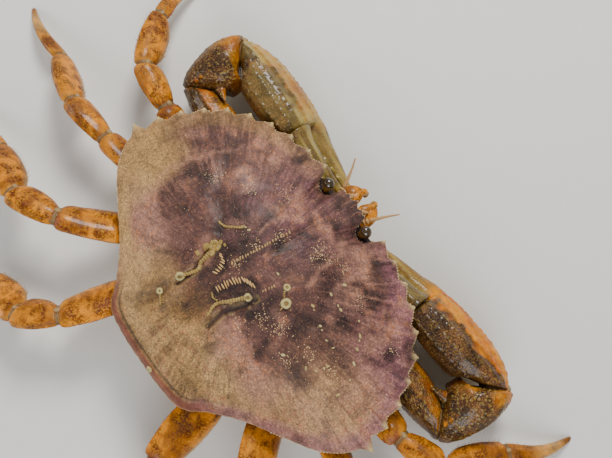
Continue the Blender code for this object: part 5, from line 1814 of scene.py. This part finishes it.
def add_mouthpart(side):
    """One outer mouthpart: two plates over the mouth and the jointed palp that folds across them."""
    clay = Clay(side)
    stations = np.column_stack([MOUTH_FORES, curve_through(MOUTH_PLATES, MOUTH_FORES)])
    rings = plate_rings(stations)
    groove = 0.35 * bell(rings[..., 0] - 7.6, 0.8) * smooth((41 - rings[..., 1]) / 1.5)
    rings[..., 2] += groove + 0.08 * pebbles(rings, 1.5, 90)
    pale = 0.35 + 0.3 * cloud(rings, 4, 91)
    warm = 0.35 + 0.4 * bell(rings[..., 1] - 42, 1.2)
    # The groove is darkened as painted shade, as deep as it is.
    clay.add_tube(rings, np.stack([pale, warm, 0.6 * groove], -1))
    for k, joints in enumerate(PALP_JOINTS):
        course = np.array(joints) + (0, 0, breast_rise(47))
        tube_into(clay, course, [1.55 - 0.25 * k, 1.75 - 0.3 * k, 1.2 - 0.3 * k], 16, 16, (0.35, 0.5, 0))
    finish_piece(clay.build(f"mouthpart_{side}", belly_finish()), "belly", f"maxilliped_{side}")
    leaf = Clay(side)
    tube_into(leaf, MOUTH_PALP, (2.6, 4.5, 4.7, 2.4), 60, 48, tall=0.36)
    tube_into(leaf, PALP_TIP, (1.6, 1.6, 1.4, 0.8), 40, 20, tall=0.8)
    piece = leaf.build(f"mouth_palp_{side}", limb_finish())
    paint_by_place(piece, palp_skin, leaf.sign)
    finish_piece(piece, "limb")


def palp_skin(places, outward):
    """Golden on top with cream edges, and a few creases darkened with painted shade."""
    rim = smooth((0.62 - np.abs(outward[:, 2])) / 0.4)
    # Painted shade in the creases, which are also pressed in.
    crease = bell(places[:, 0] - 5.6 + 0.8 * cloud(places, 5, 94), 0.5) * (outward[:, 2] > 0)
    return 0.75 * rim, 0 * rim, 0.35 * crease, 0.14 * cloud(places, 3, 95) - 0.22 * crease


def tube_into(clay, course, radii, rows, sides, paint=(0, 0, 0), rings_per_mm=0.0, tall=1.0):
    """A tube along a course, with rounded ends and, where asked, flattened or with fine rings round it."""
    along = distances_along(course)
    total = along[-1]
    shares = np.linspace(0, 1, rows)
    found = curve_through(np.column_stack([along / total, course, radii]), shares)
    rings = []
    for k, share in enumerate(shares):
        centre, radius = found[k, :3], found[k, 3]
        forward = found[min(k + 1, rows - 1), :3] - found[max(k - 1, 0), :3]
        close = min(share, 1 - share) * total / max(radius, 1e-3)
        radius *= math.sqrt(max(1 - (1 - min(close, 1)) ** 2, 0.04))
        radius *= 1 + 0.10 * math.cos(share * total * rings_per_mm * 2 * math.pi) * (rings_per_mm > 0)
        rings.append(ring(centre, forward, (0.1, 0.2, 1), radius * tall, radius, full_turn(sides)))
    clay.add_tube(rings, paint)


def add_eye(side):
    """A short stalk and the glossy eye at its end."""
    foot, direction = np.array(EYE_FOOT), unit(EYE_DIRECTION)
    stalk = Clay(side)
    course = [foot + direction * distance for distance in (-0.4, 1.4, 2.8, 4.4)]
    tube_into(stalk, course, [1.9, 1.75, 1.95, 2.4], 30, 28, (0.3, 0, 0))
    built = stalk.build(f"eye_stalk_{side}", stalk_finish())
    soften(built, 0.10, 1.3)
    finish_piece(built, "eye")
    points, faces = pattern_of("uv_sphere", segments=64, ring_count=40, radius=1.0)
    axes = basis(direction, (0, 1, 0))
    places = points * np.array((1, 0.956, 1)) * size("eyes") @ axes + foot + direction * 4.75
    height = points[:, 2]
    rim = bell(height + 0.35, 0.16) + 0.25 * bell(height - 0.1, 0.1)
    ball = Clay(side)
    ball.add(places, facing_out(places, faces), np.stack([np.clip(rim, 0, 1), 0 * rim, 0 * rim], -1))
    finish_piece(ball.build(f"eye_ball_{side}", eye_finish()), "eye", f"eye_{side}")


ANTENNA = dict(
    root=(8.0, 52.6, -6.6), direction=(0.3, 1.0, 0.0), bend=(0.05, 0, 0.10),
    steps=[(0, 1.5), (1.6, 1.5), (1.8, 1.1), (2.4, 0.85), (3.0, 0.65), (3.2, 0.5), (3.2, 0.4), (2.6, 0.3)],
)
ANTENNULE = dict(
    root=(3.6, 53.2, -6.8), direction=(0.0, 1.0, -0.25), bend=(0.12, -0.10, -0.12),
    steps=[(0, 1.2), (1.8, 1.2), (1.6, 0.95), (1.8, 0.7), (1.6, 0.45)],
)


def feeler_course(feeler):
    """Places and radii along a feeler, whose direction bends by the same amount at each step."""
    direction, point = unit(feeler["direction"]), np.array(feeler["root"], float)
    course, radii = [], []
    for length, radius in feeler["steps"]:
        point = point + direction * length
        direction = unit(direction + np.array(feeler["bend"]))
        course.append(point)
        radii.append(radius)
    return course, radii


# The antennule's shorter branch, from its fork.
FORK = [(0, 0, 0), (0.5, 1.2, 0.5), (1.4, 1.7, 0.2), (2.4, 1.4, -0.6)]


def add_feelers(side):
    """The ringed antenna on its two stout joints, and the shorter forked one beside it."""
    for name, feeler, jointed in (("antenna", ANTENNA, 3), ("antennule", ANTENNULE, 2)):
        clay = Clay(side)
        course, radii = feeler_course(feeler)
        for k in range(jointed - 1):
            first, last = course[k : k + 2]
            ends = [first, (first + last) / 2, last + unit(last - first) * 0.2]
            tube_into(clay, ends, [radii[k], radii[k] * 1.06, radii[k + 1]], 14, 16, (0.5, 0, 0))
        whip = course[jointed - 1:]
        tube_into(clay, whip, radii[jointed - 1:], 150, 12, (0.8, 0, 0), rings_per_mm=1.7)
        if name == "antennule":
            fork = whip[0] + np.array(FORK)
            tube_into(clay, fork, [0.5, 0.42, 0.34, 0.25], 60, 10, (0.8, 0, 0), rings_per_mm=2.0)
        finish_piece(clay.build(f"{name}_of_{side}", feeler_finish()), "feeler", f"{name}_{side}")


# Bristles


HAIR_BEND = 2.2


def bristle_pattern():
    """A tapered, slightly bent hair one unit long, with three sides."""
    angles = np.radians([90, 210, 330])
    points = np.empty((0, 3))
    for share, width in ((0, 1.0), (0.45, 0.75), (0.8, 0.42)):
        x = np.cos(angles) * width + share**2 * HAIR_BEND
        points = np.concatenate([points, np.column_stack([x, np.sin(angles) * width, np.full(3, share)])])
    faces = [(2, 1, 0)]
    for row in (0, 3):
        faces += [(row + k, row + (k + 1) % 3, row + 3 + (k + 1) % 3, row + 3 + k) for k in range(3)]
    faces += [(6 + k, 6 + (k + 1) % 3, 9) for k in range(3)]
    return np.concatenate([points, [[HAIR_BEND, 0, 1.0]]]), faces


class Bristles(Sprinkle):
    """Bristles of one side of the crab."""

    def __init__(self, seed):
        self.pattern, self.faces = bristle_pattern()
        self.items = []
        self.chance = random.Random(seed)

    def grow(self, root, direction, length, spread=0.25):
        """One bristle, with its own lean, length and tint, unless it would reach the floor."""
        chance, thickness = self.chance, size("bristle_thickness")
        direction = unit(unit(direction) + np.array([chance.uniform(-spread, spread) for _ in range(3)]))
        length *= 1 + chance.uniform(-0.3, 0.3)
        tint = chance.uniform(0, 0.9)
        axes = basis(direction, (chance.uniform(-1, 1), chance.uniform(-1, 1), 0.3))
        if root[2] + min(direction[2], 0) * length >= -FLOOR_DEPTH + 0.2:
            self.add(np.asarray(root) - direction * 0.25, axes, (thickness, thickness, length), (tint, 0, 0))


# Fringes of each segment: degrees round it, share of rows with a bristle, and share of the full length.
LEG_FRINGES = {
    "merus": ((90, 0.55, 0.68), (270, 0.45, 0.73)),
    "carpus": ((90, 0.5, 0.64),),
    "propodus": ((70, 0.8, 0.86), (110, 0.8, 0.86), (270, 1.0, 1.0)),
    "dactyl": ((90, 1.0, 0.77), (270, 1.0, 0.77), (30, 0.5, 0.5), (150, 0.5, 0.5)),
}


def fringe_leg(hairs, side, number):
    """Rows of bristles along the ridges of one leg."""
    chance = hairs.chance
    for part, fringes in LEG_FRINGES.items():
        shares, rings = built_limbs[side, number, part]
        middle = rings.mean(1)
        chord = unit(middle[-1] - middle[0])
        sides = rings.shape[1]
        for angle, density, length in fringes:
            column = int(round(angle / 360 * sides)) % sides
            for row in range(3, len(rings) - 4):
                if chance.random() > density:
                    continue
                spot = rings[row, (column + chance.choice((-1, 0, 1))) % sides]
                reach = size("bristle_length") * length * (1 - 0.45 * shares[row] * (part == "dactyl"))
                hairs.grow(spot, unit(spot - middle[row]) + chord * 0.9, reach)


def add_bristles(side):
    """Fringes along the legs, the mouthparts, the tail's edges and under the shell's margin."""
    if not built_limbs:
        raise RuntimeError("the legs have to be built before their bristles")
    hairs = Bristles(51 if side == "left" else 52)
    for number in LEGS:
        fringe_leg(hairs, side, number)
    edge = ShellEdge()
    for distance in np.arange(30, edge.length - 4, 0.5):
        plan = edge.at(distance)
        spot = SHELL_CENTRE + (plan - SHELL_CENTRE) * (0.925 + 0.03 * float(steepness(*plan)))
        out = unit(spot - SHELL_CENTRE) * 0.5
        hairs.grow([*spot, float(margin_rise(spot[1])) - 4.1], (*out, -1), 1.9, spread=0.4)
    for fore in np.arange(31.5, 46.5, 0.35):
        for place, aside in ((0.75, -0.6), (10.6, 0.8)):
            hairs.grow((place, fore, breast_rise(fore) - 1.6), (aside, 0.5, -0.7), 1.9, spread=0.3)
    for fore in np.arange(-50, 8, 0.5):
        half = float(np.interp(fore, TAIL_BOUNDS, TAIL_HALVES))
        hairs.grow((half * 0.985, fore, breast_rise(fore) - 1.3), (1, -0.3, -0.5), 1.5, spread=0.3)
    finish_piece(hairs.into(Clay(side)).build(f"bristles_{side}", bristle_finish()), "limb")


# The stage

SENSOR_WIDTH = 36


def add_floor():
    bpy.ops.object.select_all(action="DESELECT")
    bpy.ops.mesh.primitive_plane_add(size=size("floor_width") * MM, location=(0, 0, 0))
    floor = bpy.context.active_object
    floor.name = "floor"
    floor.data.materials.append(plain_finish("floor_paint", colours().floor, colours().floor, 60, 0.6))


def add_light(name, place, width, power, tint=(1, 1, 1)):
    """A soft square light that points at the crab."""
    data = bpy.data.lights.new(name, "AREA")
    data.energy, data.size, data.color = power, width, tint
    lamp = bpy.data.objects.new(name, data)
    lamp.location = place
    aim = Vector((0, 0, 0.02)) - Vector(place)
    lamp.rotation_euler = aim.to_track_quat("-Z", "Y").to_euler()
    bpy.context.scene.collection.objects.link(lamp)


def add_camera():
    eye, right, up, away = photo_camera()
    data = bpy.data.cameras.new("photo_view")
    data.sensor_width = SENSOR_WIDTH
    data.lens = LENS_PIXELS / PHOTO_WIDTH * SENSOR_WIDTH
    data.clip_start = 0.01
    camera = bpy.data.objects.new("photo_view", data)
    bpy.context.scene.collection.objects.link(camera)
    camera.matrix_world = Matrix.Translation(eye) @ Matrix((right, up, away)).transposed().to_4x4()
    bpy.context.scene.camera = camera


def add_world():
    world = bpy.data.worlds.new("soft_room")
    world.use_nodes = True
    shader = world.node_tree.nodes["Background"]
    shader.inputs["Color"].default_value = (0.92, 0.95, 1.0, 1)
    shader.inputs["Strength"].default_value = 0.34
    bpy.context.scene.world = world


# Settings, operators and panel


def colour_setting(name, description, red, green, blue):
    return bpy.props.FloatVectorProperty(
        name=name, description=description, subtype="COLOR", size=3, min=0, max=1,
        default=paint_colour(red, green, blue),
    )


def size_setting(name, description, millimetres):
    return bpy.props.FloatProperty(
        name=name, description=description, default=millimetres * MM, min=0, precision=5, unit="LENGTH",
    )


class CrabSizes(bpy.types.PropertyGroup):
    """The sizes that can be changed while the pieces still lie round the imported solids."""

    shell_rise: size_setting("Shell rise", "Height of the back shell's dome above its margin", 21.0)
    side_teeth: size_setting("Side teeth", "How far the teeth of the shell's margin stand out", 2.3)
    last_teeth: size_setting("Last teeth", "How far the last and largest tooth of each side stands out", 4.6)
    shell_grains: size_setting("Shell grains", "Radius of the largest pearly grains on the back shell", 0.25)
    margin_beads: size_setting("Margin beads", "Radius of the beads along the shell's margin", 0.31)
    comb_bars: size_setting("Comb bars", "Half the width of the bars beside the middle grooves", 0.36)
    joint_skins: size_setting("Joint skins", "Length of the soft skin inside each joint", 4.6)
    palm_keels: size_setting("Palm keels", "Height of the beaded keels along the palms", 0.8)
    palm_spines: size_setting("Palm spines", "Length of the spines on the palms' crests", 2.9)
    eyes: size_setting("Eyes", "Radius of the eyes", 2.72)
    bristle_length: size_setting("Bristle length", "Length of the longest bristles of the legs", 2.2)
    bristle_thickness: size_setting("Bristle thickness", "Radius of the bristles at their roots", 0.075)
    floor_width: size_setting("Floor width", "Width of the floor", 4000)
    key_light: size_setting("Key light", "Width of the brightest light", 320)


class CrabColours(bpy.types.PropertyGroup):
    """The colours of the crab and the floor."""

    shell_dark: colour_setting("Shell, dark", "Darkest patches of the back shell", 34, 20, 21)
    shell_mid: colour_setting("Shell, middle", "Most of the back shell", 112, 72, 68)
    shell_light: colour_setting("Shell, light", "Tips of the shell's fine grains", 230, 182, 116)
    shell_glow: colour_setting("Shell glow", "Small warm flecks in the shell's light patches", 226, 142, 92)
    shell_tan: colour_setting("Shell, tan", "The shell towards the tail", 184, 138, 66)
    shell_tan_dark: colour_setting("Shell, dark tan", "Darker patches towards the tail", 136, 96, 42)
    shell_rose: colour_setting("Shell, rose", "Rosy streaks on the back shell", 212, 152, 128)
    shell_purple: colour_setting("Shell, purple", "The shell along the right margin", 176, 108, 126)
    rust: colour_setting("Rust", "The tail's rim and the joints of the legs", 140, 76, 56)
    cream: colour_setting("Cream", "Tooth tips and undersides", 226, 196, 134)
    cream_light: colour_setting("Light cream", "Pearly grains", 240, 222, 178)
    comb: colour_setting("Comb", "Bars beside the middle grooves", 196, 146, 80)
    crust_pale: colour_setting("Crust pale", "Mouths of the worm tubes on the shell", 208, 200, 138)
    crust_yellow: colour_setting("Crust", "Chalky growth on the shell", 166, 124, 38)
    limb_dark: colour_setting("Leg, dark", "Dark patches of the legs", 98, 40, 4)
    limb_orange: colour_setting("Leg, orange", "Most of the legs", 216, 128, 0)
    limb_light: colour_setting("Leg, light", "Grains of the legs", 244, 172, 14)
    claw_dark: colour_setting("Claw, dark", "Dark patches of the claws", 38, 20, 12)
    claw_brown: colour_setting("Claw, brown", "Most of the claws", 88, 52, 32)
    claw_gold: colour_setting("Claw, gold", "Grains of the claws", 218, 164, 58)
    claw_pale: colour_setting("Claw, pale", "Fingers and teeth", 190, 168, 88)
    golden: colour_setting("Golden", "Golden drifts over the claws' orange faces", 246, 164, 0)
    claw_orange: colour_setting("Claw, orange", "Outer face of the palms", 216, 112, 0)
    belly: colour_setting("Belly", "Most of the underside", 216, 186, 126)
    belly_dark: colour_setting("Belly, dark", "Seams and patches of the underside", 172, 132, 78)
    joint_skin: colour_setting("Joint skin", "Soft skin inside the joints", 112, 78, 34)
    eye: colour_setting("Eye", "The eyes", 24, 15, 13)
    eye_rim: colour_setting("Eye rim", "The ring round each eye", 206, 156, 60)
    bristle: colour_setting("Bristles", "The bristles", 128, 92, 50)
    floor: colour_setting("Floor", "The floor", 224, 223, 219)


class CRAB_OT_back_shell(bpy.types.Operator):
    """Add the back shell with its toothed margin"""

    bl_idname = "crab.back_shell"
    bl_label = "Back shell"

    def execute(self, context):
        add_shell()
        return {"FINISHED"}


class CRAB_OT_shell_marks(bpy.types.Operator):
    """Add the grains, beads, comb bars and chalky growths of the back shell"""

    bl_idname = "crab.shell_marks"
    bl_label = "Shell grains and growths"

    def execute(self, context):
        shell = bpy.data.objects.get("back_shell")
        if shell is None:
            raise RuntimeError("the back shell has to be built before its marks")
        tree = surface_of(shell)
        add_grains(tree)
        add_margin_beads()
        add_comb(tree)
        add_crusts(tree)
        return {"FINISHED"}


class CRAB_OT_belly(bpy.types.Operator):
    """Add the breast, with the stubs that the limbs grow from"""

    bl_idname = "crab.belly"
    bl_label = "Belly"

    def execute(self, context):
        add_belly()
        return {"FINISHED"}


class CRAB_OT_folded_tail(bpy.types.Operator):
    """Add the narrow tail folded under the breast"""

    bl_idname = "crab.folded_tail"
    bl_label = "Folded tail"

    def execute(self, context):
        add_tail()
        return {"FINISHED"}


class CRAB_OT_legs(bpy.types.Operator):
    """Add the eight walking legs"""

    bl_idname = "crab.legs"
    bl_label = "Walking legs"

    def execute(self, context):
        for side in SIDES:
            for number in LEGS:
                add_leg(side, number)
        return {"FINISHED"}


class CRAB_OT_claws(bpy.types.Operator):
    """Add the two claws"""

    bl_idname = "crab.claws"
    bl_label = "Claws"

    def execute(self, context):
        for side in SIDES:
            add_claw(side)
        return {"FINISHED"}


class CRAB_OT_mouthparts(bpy.types.Operator):
    """Add the mouthparts with their palps"""

    bl_idname = "crab.mouthparts"
    bl_label = "Mouthparts"

    def execute(self, context):
        for side in SIDES:
            add_mouthpart(side)
        return {"FINISHED"}


class CRAB_OT_eyes(bpy.types.Operator):
    """Add the eyes on their stalks"""

    bl_idname = "crab.eyes"
    bl_label = "Eyes"

    def execute(self, context):
        for side in SIDES:
            add_eye(side)
        return {"FINISHED"}


class CRAB_OT_feelers(bpy.types.Operator):
    """Add both pairs of feelers"""

    bl_idname = "crab.feelers"
    bl_label = "Feelers"

    def execute(self, context):
        for side in SIDES:
            add_feelers(side)
        return {"FINISHED"}


class CRAB_OT_joint_skins(bpy.types.Operator):
    """Add the soft skin inside the joints of legs and claws"""

    bl_idname = "crab.joint_skins"
    bl_label = "Joint skins"

    def execute(self, context):
        add_joint_skins()
        return {"FINISHED"}


class CRAB_OT_bristles(bpy.types.Operator):
    """Add the bristles of legs, mouthparts, tail and shell margin"""

    bl_idname = "crab.bristles"
    bl_label = "Bristles"

    def execute(self, context):
        for side in SIDES:
            add_bristles(side)
        return {"FINISHED"}


class CRAB_OT_stage(bpy.types.Operator):
    """Add the floor, the lights and the camera"""

    bl_idname = "crab.stage"
    bl_label = "Stage"

    def execute(self, context):
        add_floor()
        add_world()
        add_light("key", (0.40, -0.55, 0.70), size("key_light") * MM, 9, (1.0, 0.97, 0.92))
        add_light("fill", (-0.62, 0.40, 0.62), 0.6, 6.5, (0.96, 0.97, 1.0))
        add_light("rim", (0.62, 0.62, 0.35), 0.4, 2.5)
        add_camera()
        return {"FINISHED"}


class CRAB_PT_panel(bpy.types.Panel):
    """Buttons for each group of pieces, with the sizes and colours"""

    bl_idname = "CRAB_PT_panel"
    bl_label = "Dungeness crab"
    bl_space_type = "VIEW_3D"
    bl_region_type = "UI"
    bl_category = "Crab"

    def draw(self, context):
        for operator in OPERATORS:
            self.layout.operator(operator.bl_idname)
        for settings in (context.scene.crab_sizes, context.scene.crab_colours):
            for name in type(settings).__annotations__:
                self.layout.prop(settings, name)


OPERATORS = (
    CRAB_OT_back_shell, CRAB_OT_shell_marks, CRAB_OT_belly, CRAB_OT_folded_tail, CRAB_OT_legs, CRAB_OT_claws,
    CRAB_OT_mouthparts, CRAB_OT_eyes, CRAB_OT_feelers, CRAB_OT_joint_skins, CRAB_OT_bristles, CRAB_OT_stage,
)
CLASSES = (CrabSizes, CrabColours, *OPERATORS, CRAB_PT_panel)


def register():
    for item in CLASSES:
        bpy.utils.register_class(item)
    bpy.types.Scene.crab_sizes = bpy.props.PointerProperty(type=CrabSizes)
    bpy.types.Scene.crab_colours = bpy.props.PointerProperty(type=CrabColours)


def unregister():
    del bpy.types.Scene.crab_colours
    del bpy.types.Scene.crab_sizes
    for item in reversed(CLASSES):
        bpy.utils.unregister_class(item)


def main():
    register()
    for operator in OPERATORS:
        getattr(bpy.ops.crab, operator.bl_idname.split(".")[1])()


if __name__ == "__main__":
    main()
